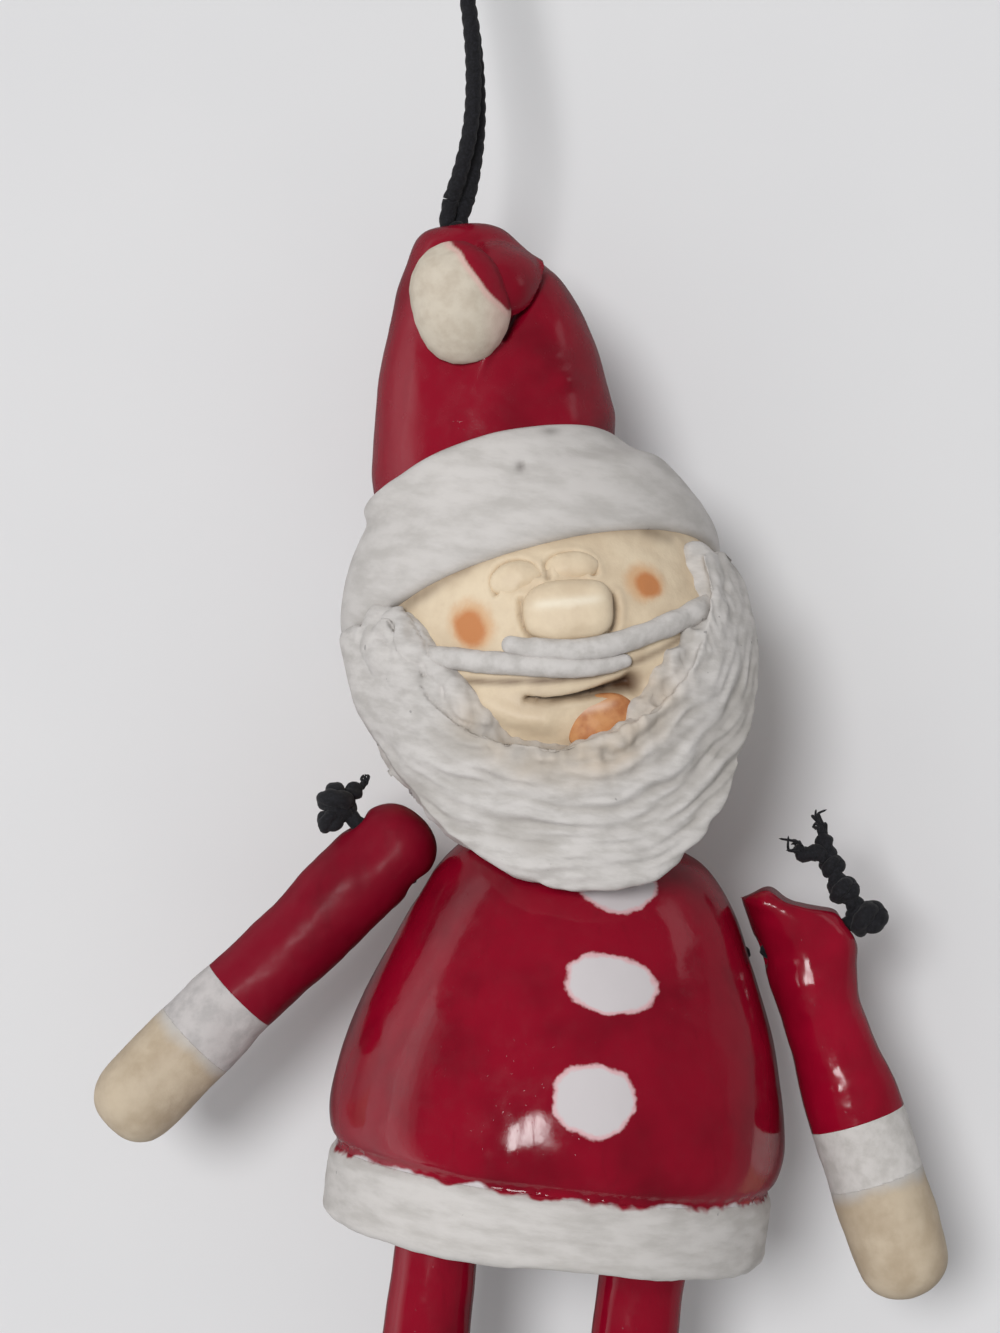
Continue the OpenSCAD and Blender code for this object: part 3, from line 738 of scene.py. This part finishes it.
def band_mesh(turns, rows, thick, rounds):
    tree = skin_of("hat", "head")
    angles = np.arange(turns) * 2 * math.pi / turns
    share = np.linspace(-1, 1, rows)
    reach = np.empty((turns, rows))
    for i, a in enumerate(angles):
        for j, u in enumerate(share):
            z = u * BAND_H / 2
            outside = (RAY_START * math.cos(a), RAY_START * math.sin(a), z)
            middle = Vector(placed(band_plane, (0, 0, z))) * MM
            start = Vector(placed(band_plane, outside)) * MM
            hit = tree.ray_cast(start, (middle - start).normalized())[0]
            reach[i, j] = (hit - middle).length * TO_MM
    for _ in range(rounds):
        reach = (np.roll(reach, 1, 0) + np.roll(reach, -1, 0) + 2 * reach) / 4
        reach[:, 1:-1] = (reach[:, :-2] + reach[:, 2:] + 2 * reach[:, 1:-1]) / 4
    outer = reach + 0.3 + thick * (1 - np.abs(share) ** 2.4) ** 0.6
    section = np.concatenate([outer, reach[:, ::-1] - 0.9], axis=1)
    height = np.concatenate([share, share[::-1]]) * BAND_H / 2
    x = section * np.cos(angles)[:, None]
    y = section * np.sin(angles)[:, None]
    z = np.broadcast_to(height, section.shape)
    points = placed(band_plane, np.stack([x, y, z], axis=2).reshape(-1, 3))
    return mesh_of(points, ring_faces(turns, 2 * rows, closed=True))


band = joined("fur_band_clay", [band_mesh(turns=320, rows=46, thick=2.4, rounds=12)])


def band_shape(points, normals):
    p = local(points, head_frame)
    outward = soft_step(0.2, 0.8, np.hypot(normals[:, 0], normals[:, 1]))
    swell = 0.9 * soft_step(-12, -24, p[:, 0])
    dents = -0.5 * dot(points, BAND_DENT, 5, 5)
    return swell * outward + lumpy(p, (0.3, 11, 21), (0.05, [6, 6, 1.8], 22)) + dents


push(band, band_shape)
points = points_of(band)
# Painted shade: grey in the band's dent, and a grey patch above and to the right of it.
soot = 0.8 * dot(points, BAND_DENT, 4.5, 4.5) + 0.6 * dot(points, (551, 431), 9, 4)
wash(band, "soot", in_front(points) * soot)
band_look = matt_white("band_white", (0.3, 0.3, 0.9), over=washed(soot=tone(120, 114, 110)))
settle(band, "head", "matt_white", band_look, "fur_band")

# Face: the ball of the head, with the mouth cut in and lines pressed round the eyes and the nose
MOUTH = [(526, 699), (545, 701), (562, 700), (580, 697), (597, 693), (612, 689), (625, 685.5), (633, 683)]
LEFT_ARC = [(495.4, 592.8), (493.2, 583), (493.8, 575.6), (500, 568), (509.4, 563.8), (519, 562.6),
            (528, 564.7), (539, 574.1)]
RIGHT_ARC = [(548.3, 577.2), (546, 570), (546.8, 563.8), (553, 558), (562.4, 555.7), (574, 555.8),
             (584.2, 558.5), (591, 564), (594.1, 572.5)]
NOSE_LEFT = [(521, 600), (521, 615), (526, 630), (533, 639)]
NOSE_RIGHT = [(613, 596), (616, 608), (615, 622), (611, 634)]
BAND_EDGE = [(397, 611), (450, 574), (500, 548), (544, 535), (603, 527), (637, 528), (668, 535)]
ROLL_SHADOW = [(461, 681), (500, 682), (545, 681), (590, 677), (610, 670), (640, 660), (662, 650), (688, 634)]
LIP = [(486, 702), (503, 712), (524, 718), (545, 720)]
face = clay("head_clay", ["head"], voxel=0.32, rounds=8)


def face_shape(points, normals):
    px, py = pixels(points)
    front = soft_step(-4, -10, points[:, 1]) * (normals[:, 1] < -0.15)
    amount = lumpy(points, (0.05, 7, 31), (0.05, 1.8, 32))
    far, share = line_distance(px, py, MOUTH)
    amount -= front * 2.6 * hump(far, 1.8 + 7 * share ** 2)
    far = line_distance(px, py, LIP)[0]
    amount += front * 0.9 * hump(far, 12)
    for line in (LEFT_ARC, RIGHT_ARC, NOSE_LEFT, NOSE_RIGHT):
        far = line_distance(px, py, line)[0]
        amount -= front * 0.6 * hump(far, 2.6)
        amount += front * 0.2 * hump(far - 7, 3.5)
    under_hat = soft_step(-1, 2, local(points, band_plane)[:, 2])
    return amount * (1 - under_hat) - 0.6 * under_hat


# Painted shade: brown in the mouth's slit and faintly round it, under the band's edge, in the lines round the
# eyes and beside the nose, and under the moustache's roll.
points = points_of(face)
px, py = pixels(points)
far, share = line_distance(px, py, MOUTH)
brown_shade = np.maximum((0.8 + 0.6 * share) * hump(far, 2.2 + 8.5 * share ** 2), 0.28 * hump(far, 10))
for line, strength, wide in ((BAND_EDGE, 0.55, 8), (LEFT_ARC, 0.55, 2.2), (RIGHT_ARC, 0.55, 2.2),
                             (NOSE_LEFT, 0.5, 2.4), (NOSE_RIGHT, 0.6, 2.6), (ROLL_SHADOW, 0.8, 4)):
    far = line_distance(px, py, line)[0]
    brown_shade = np.maximum(brown_shade, strength * hump(far, wide))
wash(face, "brown_shade", in_front(points) * brown_shade * (0.85 + 0.25 * rough_at(points / 2, 35)))
push(face, face_shape)


def face_paint(paint):
    cheek = tone(198, 130, 80)
    edge = tone(214, 174, 134)
    marks = []
    for px, py, y, wide, high, lean, soft, colour in (
            (472, 625, -19.5, 2.5, 2.7, 10, 0.35, edge), (470, 628, -19.5, 1.75, 2.0, 10, 0.3, cheek),
            (645, 583, -18.5, 2.3, 2.0, -25, 0.35, edge), (648, 585, -18.5, 1.55, 1.3, -30, 0.3, cheek)):
        marks.append((paint.spot(px, py, y, wide, high, lean, soft, ragged=0.35), colour))
    return marks + [(paint.amount("brown_shade"), SHADE_BROWN)]


settle(face, "head", "skin", skin("face_skin", face_paint), "head")


def mound(name, pixel, lift, half, degrees, power):
    """A low pressed mound on the head, square to the view. half gives its half sizes in mm."""
    centre = on_skin(*pixel, lift)
    wide, high, deep = half
    around = np.linspace(0, 2 * math.pi, 56, endpoint=False)
    rise = np.linspace(-math.pi / 2, math.pi / 2, 33)[1:-1]
    u, v = np.meshgrid(around, rise)

    def bulge(t):
        return np.sign(t) * np.abs(t) ** (2 / power)
    x = bulge(np.cos(v)) * bulge(np.cos(u)) * wide
    z = bulge(np.cos(v)) * bulge(np.sin(u)) * high
    y = bulge(np.sin(v)) * deep
    c, s = math.cos(math.radians(degrees)), math.sin(math.radians(degrees))
    right = (x * c - z * s).reshape(-1, 1)
    up = (x * s + z * c).reshape(-1, 1)
    points = centre + right * VIEW_RIGHT + up * VIEW_UP + y.reshape(-1, 1) * [0, 1, 0]
    ends = [centre - [0, deep, 0], centre + [0, deep, 0]]
    rows, cols = u.shape
    faces = ring_faces(rows, cols, closed=False)
    last = (rows - 1) * cols
    for k in range(cols):
        n = (k + 1) % cols
        faces.append((k, n, len(points)))
        faces.append((last + n, last + k, len(points) + 1))
    mesh = mesh_of(np.vstack([points, ends]), faces)
    form = bmesh.new()
    form.from_mesh(mesh)
    bpy.data.meshes.remove(mesh)
    bmesh.ops.recalc_face_normals(form, faces=form.faces)
    return piece_of(name, form)


for node, pixel, high, lean in (("left_eyelid", (517, 580), 2.2, 12), ("right_eyelid", (571, 568), 1.9, 4)):
    lid = mound(node + "_clay", pixel, lift=-0.9, half=(3.2, high, 1.5), degrees=lean, power=2.0)
    roughen(lid, (0.1, 1.5, 41))
    settle(lid, "head", "skin", skin(node + "_skin"), node)
nose = mound("nose_clay", (568.5, 611), lift=-0.8, half=(5.2, 3.6, 2.9), degrees=4, power=2.9)
roughen(nose, (0.14, 3, 43))
# Painted highlight: a pale band along the top of the nose.
px, py = pixels(points_of(nose))
nose_highlight = hump(py - 602 + 0.1 * (px - 568), 4.5)
wash(nose, "pale", nose_highlight * soft_step(612, 590, px) * soft_step(524, 545, px), most=0.75)
settle(nose, "head", "skin", skin("nose_skin", washed(pale=tone(240, 230, 210))), "nose")
tongue = mound("tongue_clay", (601, 722), lift=-0.5, half=(4.2, 3.2, 1.6), degrees=26, power=2.0)
roughen(tongue, (0.18, 2.2, 45))
px, py = pixels(points_of(tongue))
# Painted highlight: a pale band along the top of the tongue, on its left part.
wash(tongue, "pale", hump(py - 706 + 0.2 * (px - 600), 4.5) * soft_step(622, 600, px), most=0.7)


def tongue_paint(paint):
    cloud = paint.ranged(paint.noise(paint.within(), 0.55), 0.35, 0.65)
    return [(cloud, tone(204, 146, 96)), (paint.amount("pale"), tone(226, 196, 176))]


tongue_look = skin("tongue_paint", tongue_paint, tone(172, 106, 64), tone(200, 138, 88))
settle(tongue, "head", "tongue", tongue_look, "tongue")

# Moustache: the right roll lies over the left one
UPPER_ROLL = [(502, 643), (520, 647), (544, 649), (575, 650), (600, 647), (625, 641), (653, 631),
              (684, 618), (706, 606), (720, 596)]
LOWER_ROLL = [(418, 652), (430, 656), (446, 658), (466, 660), (490, 662), (512, 664), (540, 666),
              (562, 667.5), (585, 668), (604, 666), (632, 659)]
for node, line, thick, seed in (("upper_moustache", UPPER_ROLL, (0.9, 1.3, 1.35, 1.4, 1.5, 1.3), 47),
                                ("lower_moustache", LOWER_ROLL, (1.0, 1.35, 1.3, 1.25, 1.15, 0.7), 48)):
    form = roll_mesh(line, lift=0.55, radius=thick, seed=seed, lumps=0.06)
    roll = clay_of(node + "_clay", [form], voxel=0.16, rounds=6)
    roughen(roll, (0.1, 3, seed), (0.04, 0.8, 49))
    settle(roll, "head", "matt_white", matt_white(node + "_white"), node)

# Beard: its ragged inner edge lies on the face, and tool strokes follow the smile
BEARD_EDGE = [(384, 622), (400, 626), (417, 645), (432, 663), (452, 682), (463, 699), (480, 719), (500, 736),
              (530, 750), (565, 758), (602, 754), (629, 737), (643, 714), (656, 688), (672, 663), (693, 638),
              (708, 612), (712, 596)]
SMILE_DROP = 46

# The edge, the left corner, the left and right filling and the right temple: line, lift, radii, seed, lumps
BEARD_ROLLS = (
    (BEARD_EDGE, 0.1, (1.6, 1.9, 1.6, 1.5, 1.5, 1.6, 1.7, 1.7, 1.8), 50, 0.35),
    ([(378, 622), (384, 634), (394, 652), (410, 672), (432, 694)], 1.2, (1.3, 1.9, 2.1, 1.9, 1.5), 55, 0.3),
    ([(398, 648), (414, 668), (434, 690), (452, 713), (474, 736), (500, 750), (530, 762)], 0.2,
     (2.2, 2.3, 2.2, 2.2, 2.0, 1.8), 57, 0.2),
    ([(716, 612), (703, 642), (687, 668), (672, 695), (660, 718), (645, 742), (615, 760)], 0.2,
     (1.6, 1.9, 2.0, 2.0, 2.0, 1.8), 58, 0.2),
    ([(686, 545), (694, 556), (701, 570), (707, 586), (713, 604)], 0.3, (1.2, 1.7, 2.0, 2.1, 1.8), 68, 0.3),
)
beard_forms = [node_mesh("beard")] + [roll_mesh(*roll) for roll in BEARD_ROLLS]
beard = clay_of("beard_clay", beard_forms, voxel=0.28, rounds=6)


def beard_strokes(points, normals):
    p = local(points, face_frame)
    px, py = pixels(points)
    around = np.arctan2(p[:, 0], -(p[:, 2] + SMILE_DROP))
    reach = np.hypot(p[:, 0], p[:, 2] + SMILE_DROP)
    warp = 1.3 * rough_at(p / 9, 51)
    strokes = rough_at(np.stack([(reach + warp) / 1.3, around * 3.4, p[:, 1] / 14], axis=1), 52)
    layers = rough_at(np.stack([(reach + 2 * warp) / 3.4, around * 1.8, p[:, 1] / 20], axis=1), 53)
    lumps = rough_at(p / 2.2, 54)
    ragged = hump(line_distance(px, py, BEARD_EDGE)[0], 22)
    low = soft_step(12, 22, reach) * soft_step(70, 40, np.abs(np.degrees(around)))
    smooth_side = 1 - 0.55 * soft_step(14, 26, np.abs(p[:, 0]))
    swell = 1.2 * soft_step(-13, -22, p[:, 0]) * soft_step(-60, -52, p[:, 2]) * (normals[:, 0] < 0.1)
    tuck = soft_step(-13.5, -8.5, local(points, band_plane)[:, 2]) * soft_step(20, 23, p[:, 0])
    shreds = rough_at(p / [1.3, 1.3, 2.6], 59)
    fine = rough_at(np.stack([(reach + 0.6 * warp) / 0.62, around * 4.5, p[:, 1] / 9], axis=1), 60, octaves=1)
    tooled = (0.16 + 0.42 * low) * strokes + (0.05 + 0.17 * low) * fine
    form = swell + smooth_side * tooled + 0.65 * layers * low
    return form * (1 - tuck) - 1.3 * tuck + (0.1 + 0.25 * ragged) * lumps + 0.42 * ragged * shreds


strokes = beard_strokes(points_of(beard), vertex_rows(beard, "normal"))
# Painted shade: greyer where the tool strokes sink.
groove = soft_step(0.0, -0.5, strokes - 0.1)
push(beard, beard_strokes)


def at_back(p, reach):
    """1 at the hindmost point, 0 from reach in front of it on."""
    return soft_step(p[:, 1].max() - reach, p[:, 1].max(), p[:, 1])


def beard_back(points, normals):
    p = local(points, face_frame)
    near = at_back(p, 6)
    return -0.9 * near * (normals[:, 1] < 0.5) + 0.25 * near * rough_at(p / 2.5, 66)


def beard_fringe(points):
    p = local(points, face_frame)
    shift = at_back(p, 5) * (2.6 * rough_at(p / [40, 40, 3.4], 67, octaves=3) - 0.6)
    return points + shift[:, None] * [0, 1, 0]


push(beard, beard_back)
set_points(beard, beard_fringe(points_of(beard)))
wash(beard, "groove", 0.4 * groove)
points = points_of(beard)
edge = line_distance(*pixels(points), BEARD_EDGE[6:14])[0]
beige = 0.55 * hump(edge, 26) * (0.8 + 0.5 * rough_at(points / 3, 56))
wash(beard, "beige", in_front(points) * beige)
beard_tint = washed(beige=tone(196, 176, 150), groove=tone(160, 154, 146))
settle(beard, "head", "matt_white", matt_white("beard_white", (0.6, 0.6, 1.6), over=beard_tint), "beard")

# Torso and hem: one clay form, cut where the red glaze ends
coat = clay("coat_form", ["torso", "hem_band"], voxel=0.45, rounds=16)
roughen(coat, (0.35, 16, 61), (0.04, 4, 62))
BELL_H = 41.0


def hem_line(paint, below, above):
    """The uneven line where the red glaze ends."""
    where = paint.within(torso_frame)
    wander = paint.math("SUBTRACT", paint.noise(where, 0.3, 2.5, 0.5), 0.5)
    height = paint.math("ADD", paint.parts(where)[2], paint.math("MULTIPLY", wander, 3.0))
    return paint.ranged(height, -0.3 - BELL_H, 0.3 - BELL_H, below, above)


def buttons(paint):
    edge = tone(214, 172, 176)
    white = tone(204, 198, 200)
    marks = []
    shape = dict(ragged=0.32, grain=0.22)
    for px, py, y, wide, high, lean in ((618, 884, -17, 4.5, 3.0, -6), (611, 987, -26, 5.0, 3.2, -8),
                                        (594, 1103, -27, 4.5, 3.9, -4)):
        marks.append((paint.spot(px, py, y, wide * 1.06, high * 1.08, lean, soft=0.05, **shape), edge))
        marks.append((paint.spot(px, py, y, wide * 0.97, high * 0.96, lean, soft=0.06, **shape), white))
    marks.append((hem_line(paint, 1.0, 0.0), white))
    return marks


torso = cut_piece("torso_glazed", coat, torso_frame, None, BELL_H)
settle(torso, "torso", "red_glaze", red_glaze("torso_red_glaze", buttons), "torso")
hem = cut_piece("hem_clay", coat, torso_frame, BELL_H, None)
bpy.data.objects.remove(coat)


def hem_lumps(points, normals):
    p = local(points, torso_frame)
    below = soft_step(-BELL_H - 0.5, -BELL_H - 2, p[:, 2])
    return below * lumpy(p, (0.2, 8, 63), (0.12, [4, 4, 1.5], 64))


push(hem, hem_lumps)


def hem_red(paint):
    return [(hem_line(paint, 0.0, 1.0), RED)]


settle(hem, "torso", "matt_white", matt_white("hem_white", (0.3, 0.3, 1.2), over=hem_red), "hem_band")

# Arms: the left one's glaze is duller and its cuff greyer; the right one has a knob at the shoulder
DULL = dict(reds=(tone(94, 7, 23), tone(126, 10, 34)), gloss=(0.34, 0.48), shine=0.16)
GLOSSY = dict(reds=(tone(114, 5, 26), tone(150, 8, 38)), gloss=(0.1, 0.22))
GREYED = dict(low=tone(174, 170, 169), high=tone(193, 188, 187))
LEFT_SLEEVE = 24.5
RIGHT_SLEEVE = 22.5
CUFF_H = 7.5
ARMS = (("left", left_arm_frame, LEFT_SLEEVE, DULL, GREYED),
        ("right", right_arm_frame, RIGHT_SLEEVE, GLOSSY, {}))
for side, arm_frame, sleeve, sleeve_look, cuff_look in ARMS:
    wrist = sleeve + CUFF_H

    def hand_edge(paint):
        where = paint.within(arm_frame)
        height = paint.parts(where)[2]
        wander = paint.math("MULTIPLY", paint.math("SUBTRACT", paint.noise(where, 0.2, 3.0), 0.5), 3.0)
        return [(paint.ranged(paint.math("ADD", height, wander), -wrist - 2.0, -wrist + 0.6), WHITE_SHADE)]

    def arm_lumps(points, normals):
        p = local(points, arm_frame)
        out = soft_step(1, 5, p[:, 0]) * (side == "right")
        crest = 1.7 * dot(points, (768, 895), 16, 12) * (side == "right")
        knob = crest + out * (1.1 * hump(p[:, 2] + 1.5, 3) - 0.5 * hump(p[:, 2] + 8.5, 3))
        dent = -0.7 * hump(p[:, 2] + 1, 3) * hump(p[:, 0] + 2, 3) * soft_step(0, -3, p[:, 1])
        return lumpy(points, (0.3, 8, 71), (0.05, 2, 72)) + dent + knob

    nodes = [side + "_sleeve_roll", side + "_cuff", side + "_hand"]
    whole = clay(side + "_arm_form", nodes, voxel=0.28, rounds=70)
    push(whole, arm_lumps)
    sleeve_glaze = red_glaze(side + "_sleeve_red_glaze", **sleeve_look)
    for node, slot, material, top, foot in (
            ("sleeve_roll", "red_glaze", sleeve_glaze, None, sleeve),
            ("cuff", "matt_white", matt_white(side + "_cuff_white", **cuff_look), sleeve, wrist),
            ("hand", "skin", skin(side + "_hand_skin", hand_edge, HAND_SHADE, HAND), wrist, None)):
        roll = cut_piece(side + "_" + node + "_clay", whole, arm_frame, top, foot)
        settle(roll, side + "_arm", slot, material, side + "_" + node)
    bpy.data.objects.remove(whole)

# Knots outside the arms, with their frayed ends
SHOULDER_D = 10.8
PLAY = 0.35
LEFT_TAIL = [(335, 808), (344, 800), (353, 792), (361, 785)]
RIGHT_TAIL = [(843, 890), (832, 866), (826, 848), (822, 833)]
RIGHT_HOOK = [(830, 862), (817, 853), (805, 855), (798, 848)]
TAIL_ROPE = dict(plies=2, depth=0.35, twist=0.28)
TAILS = (("left", -1, left_arm_frame, LEFT_TAIL), ("right", 1, right_arm_frame, RIGHT_TAIL))
for side, sign, arm_frame, tail in TAILS:
    middle = np.array([sign * (SHOULDER_D / 2 + PLAY + KNOT_D / 2), 0, 0])
    centre = placed(arm_frame, middle)
    inner_end = -sign * (SHOULDER_D / 2 - PLAY)
    stub = rope_mesh(placed(arm_frame, [(x, 0, 0) for x in (inner_end, 0, middle[0])]))
    tied = joined(side + "_shoulder_knot_tied", [knot_mesh(centre, arm_frame, KNOT_D, thick=2.3), stub])
    settle(tied, side + "_shoulder_cord", "cord", cord_look, side + "_shoulder_knot")
    route = [centre] + [at_pixel(px, py, centre[1] + 0.6 * k) for k, (px, py) in enumerate(tail)]
    ahead = route[-1] - route[-2]
    ahead = ahead / np.linalg.norm(ahead)
    ends = [tube_mesh(smooth_path(route), 1.2, **TAIL_ROPE)]
    if side == "left":
        ends += frayed_mesh(route[-1], ahead, count=9, length=1.3, seed=7, loose=0.45)
        ends.append(knot_mesh(at_pixel(330, 821, centre[1] - 1), head_frame, size=3.6, thick=1.8))
    else:
        ends += frayed_mesh(route[-1], ahead, count=7, length=2.0, seed=8)
        hook = [at_pixel(px, py, centre[1] + 0.6) for px, py in RIGHT_HOOK]
        ends.append(knot_mesh(route[1], head_frame, size=4.2, thick=1.9))
        ends.append(knot_mesh(route[2], arm_frame, size=3.4, thick=1.7))
        ends.append(tube_mesh(smooth_path(hook), 1.1, **TAIL_ROPE))
        ends += frayed_mesh(hook[-1], (-0.6, 0.0, 0.8), count=5, length=1.1, seed=12)
    tails = joined(side + "_knot_tails_frayed", ends)
    settle(tails, side + "_shoulder_cord", "cord", cord_look, side + "_knot_tails")

# Cords inside the figure
LEG_D = 10.4
LOOP_W = (LEG_D + CORD_D) / 2 + PLAY
HIP_KNOT = dict(size=4.0, thick=1.7)
low, high = (np.array(c) * TO_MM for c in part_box("shoulder_cord"))
across = np.array([[low[0] + 0.3, 0, high[2] - 1], [high[0] - 0.3, 0, low[2] + 1]])
shoulder = joined("shoulder_cord_twisted", [rope_mesh([across[0], (across[0] + across[1]) / 2, across[1]])])
settle(shoulder, "torso", "cord", cord_look, "shoulder_cord")
neck_route = placed(head_frame, [(0, 0, z) for z in (-5, -40, -HEAD_LEN)])
neck_rope = joined("neck_cord_twisted", [rope_mesh(neck_route)])
settle(neck_rope, "head", "cord", cord_look, "neck_cord")
low, high = (np.array(c) * TO_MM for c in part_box("neck_knot"))
drop = (high[2] - low[2]) - KNOT_D / 2 - 0.5
neck_ball = knot_mesh(placed(torso_frame, (0, 0, -drop - 1.4)), torso_frame, KNOT_D, thick=2.2)
neck_end = rope_mesh(placed(torso_frame, [(0, 0, z) for z in (-1.5, -3, -drop - 1)]))
neck_tied = joined("neck_knot_tied", [neck_ball, neck_end])
settle(neck_tied, "torso", "cord", cord_look, "neck_knot")
ends = local(across, torso_frame)
for side in ("left", "right"):
    hip = local(joint_at[side + "_leg_swing"], torso_frame)
    share = (0.8 * hip[0] - ends[0][0]) / (ends[1][0] - ends[0][0])
    tie = ends[0] + (ends[1] - ends[0]) * share
    top = hip + [0, 0, 1.35 * LEG_D]
    loop = [top, hip + [-LOOP_W, 0, LEG_D / 2], hip + [-LOOP_W, 0, 1.2], hip + [-LOOP_W + 1.2, 0, 0], hip,
            hip + [LOOP_W - 1.2, 0, 0], hip + [LOOP_W, 0, 1.2], hip + [LOOP_W, 0, LEG_D / 2], top]
    hung = joined(side + "_hip_cord_twisted", [
        rope_mesh(placed(torso_frame, loop)),
        rope_mesh(placed(torso_frame, [top, (top + tie) / 2, tie])),
        knot_mesh(placed(torso_frame, top), torso_frame, **HIP_KNOT),
        knot_mesh(placed(torso_frame, tie), torso_frame, **HIP_KNOT)])
    settle(hung, "torso", "cord", cord_look, side + "_hip_cord")

# Legs
boot_paint = Paint("boot_glaze")
boot_parts = glaze_parts(boot_paint, tone(22, 18, 17), tone(44, 36, 32))
boot_look = boot_paint.finish(*boot_parts, Coat_Weight=0.4, Coat_Roughness=0.1)
for side in ("left", "right"):
    trouser = clay(side + "_trouser_clay", [side + "_trouser"], voxel=0.3, rounds=8)
    roughen(trouser, (0.2, 7, 81))
    settle(trouser, side + "_leg", "red_glaze", red_glaze(side + "_trouser_red_glaze"), side + "_trouser")
    boot = clay(side + "_boot_clay", [side + "_boot"], voxel=0.28, rounds=8)
    roughen(boot, (0.18, 6, 83))
    settle(boot, side + "_leg", "boot", boot_look, side + "_boot")

# Stage: a pale table top behind the figure, which lies on it in the photograph. The glaze mirrors it pale on
# the left and, with painted shade, dim elsewhere.
WALL_Y = 29
WALL_X = 600
WALL_LOW = -700
WALL_HIGH = 400
table = Paint("pale_table")
wall_place = table.within()
wall_grain = table.noise(wall_place, 0.02, 3.0)
wall_colour = table.mix(wall_grain, tone(217, 217, 219), tone(224, 224, 225))
# Painted shade: in the gloss the table is dim from x = -50 mm rightwards, growing pale out to x = -150 mm.
glossy = table.add("ShaderNodeLightPath", out="Is Glossy Ray")
wall_left = table.ranged(table.parts(wall_place)[0], -50.0, -150.0)
wall_mirrored_shaded = table.mix(wall_left, tone(118, 116, 117), tone(214, 213, 214))
wall_colour = table.mix(glossy, wall_colour, wall_mirrored_shaded)
wall_shader = table.add("ShaderNodeBsdfPrincipled", out="BSDF", Base_Color=wall_colour, Roughness=0.8)
clear = table.add("ShaderNodeBsdfTransparent")
behind = table.add("ShaderNodeNewGeometry", out="Backfacing")
wall_mix = table.add("ShaderNodeMixShader", i0=behind, i1=wall_shader, i2=clear)
table.tree.links.new(wall_mix, table.out.inputs["Surface"])
corners = np.array([(-WALL_X, WALL_Y, WALL_LOW), (WALL_X, WALL_Y, WALL_LOW), (WALL_X, WALL_Y, WALL_HIGH),
                    (-WALL_X, WALL_Y, WALL_HIGH)])
wall_mesh = mesh_of(corners, [(0, 1, 2, 3)])
wall_mesh.materials.append(table.material)
wall = add_object("pale_table", wall_mesh)

# World: soft light, brighter from the left; plain and pale where the camera sees it, dim in the glaze
SKY_LEFT = 0.66
SKY_RIGHT = 0.32
SKY_SEEN = 0.72
SKY_MIRRORED = 0.1
FLOAT_MIX = {"data_type": "FLOAT"}
world = bpy.data.worlds.new("studio")
scene.world = world
world.use_nodes = True
sky = Nodes(world.node_tree)
sky_x = sky.parts(sky.add("ShaderNodeTexCoord", out="Generated"))[0]
level = sky.add("ShaderNodeMapRange", i0=sky_x, i1=-1.0, i2=1.0, i3=SKY_LEFT, i4=SKY_RIGHT)
seen = sky.add("ShaderNodeLightPath", out="Is Camera Ray")
level = sky.add("ShaderNodeMix", settings=FLOAT_MIX, i0=seen, i2=level, i3=SKY_SEEN)
mirrored = sky.add("ShaderNodeLightPath", out="Is Glossy Ray")
level = sky.add("ShaderNodeMix", settings=FLOAT_MIX, i0=mirrored, i2=level, i3=SKY_MIRRORED)
back = sky.tree.nodes["Background"]
back.inputs["Color"].default_value = (1, 1, 1, 1)
sky.tree.links.new(level, back.inputs["Strength"])


def aimed(piece, spot, aim):
    piece.location = Vector(spot) * MM
    piece.rotation_euler = (Vector(aim) - Vector(spot)).to_track_quat("-Z", "Y").to_euler()


def lamp(name, spot, aim, wide, high, glow):
    """A rectangular lamp that looks glow bright, and shows only in the gloss."""
    data = bpy.data.lights.new(name, "AREA")
    data.shape = "RECTANGLE"
    data.size = wide * MM
    data.size_y = high * MM
    data.energy = glow * math.pi * wide * high * MM * MM
    piece = add_object(name, data)
    aimed(piece, spot, aim)
    piece.visible_diffuse = False


# Lamps: a soft sun that doesn't show in the gloss, panels at both sides, and a window of three panes. A strip
# of the left panel is its depth, width and glow.
SUN_STRENGTH = 1.75
SUN_SPREAD = 16
STRIP_X = -500
STRIP_Z = -150
STRIP_H = 700
LEFT_STRIPS = ((-10, 80, 0.9), (-80, 60, 0.6), (-140, 60, 0.25))
WINDOW_X = (-152, -96, -40)
WINDOW_AIM = (0, -26, -190)
WINDOW_GLOW = 15
sun_data = bpy.data.lights.new("key", "SUN")
sun_data.energy = SUN_STRENGTH
sun_data.angle = math.radians(SUN_SPREAD)
sun = add_object("key", sun_data)
aimed(sun, (-230, -1000, 200), (0, 0, 0))
sun.visible_glossy = False
for k, (y, wide, glow) in enumerate(LEFT_STRIPS):
    lamp("left_panel_%d" % k, (STRIP_X, y, STRIP_Z), (0, y, STRIP_Z), wide, STRIP_H, glow)
lamp("right_panel", (460, -60, 45), (0, 0, -110), wide=130, high=190, glow=0.55)
for k, x in enumerate(WINDOW_X):
    spot = (x, -400 - 6 * k, -150 + 4 * k)
    lamp("window_%d" % k, spot, WINDOW_AIM, wide=44, high=96, glow=WINDOW_GLOW)
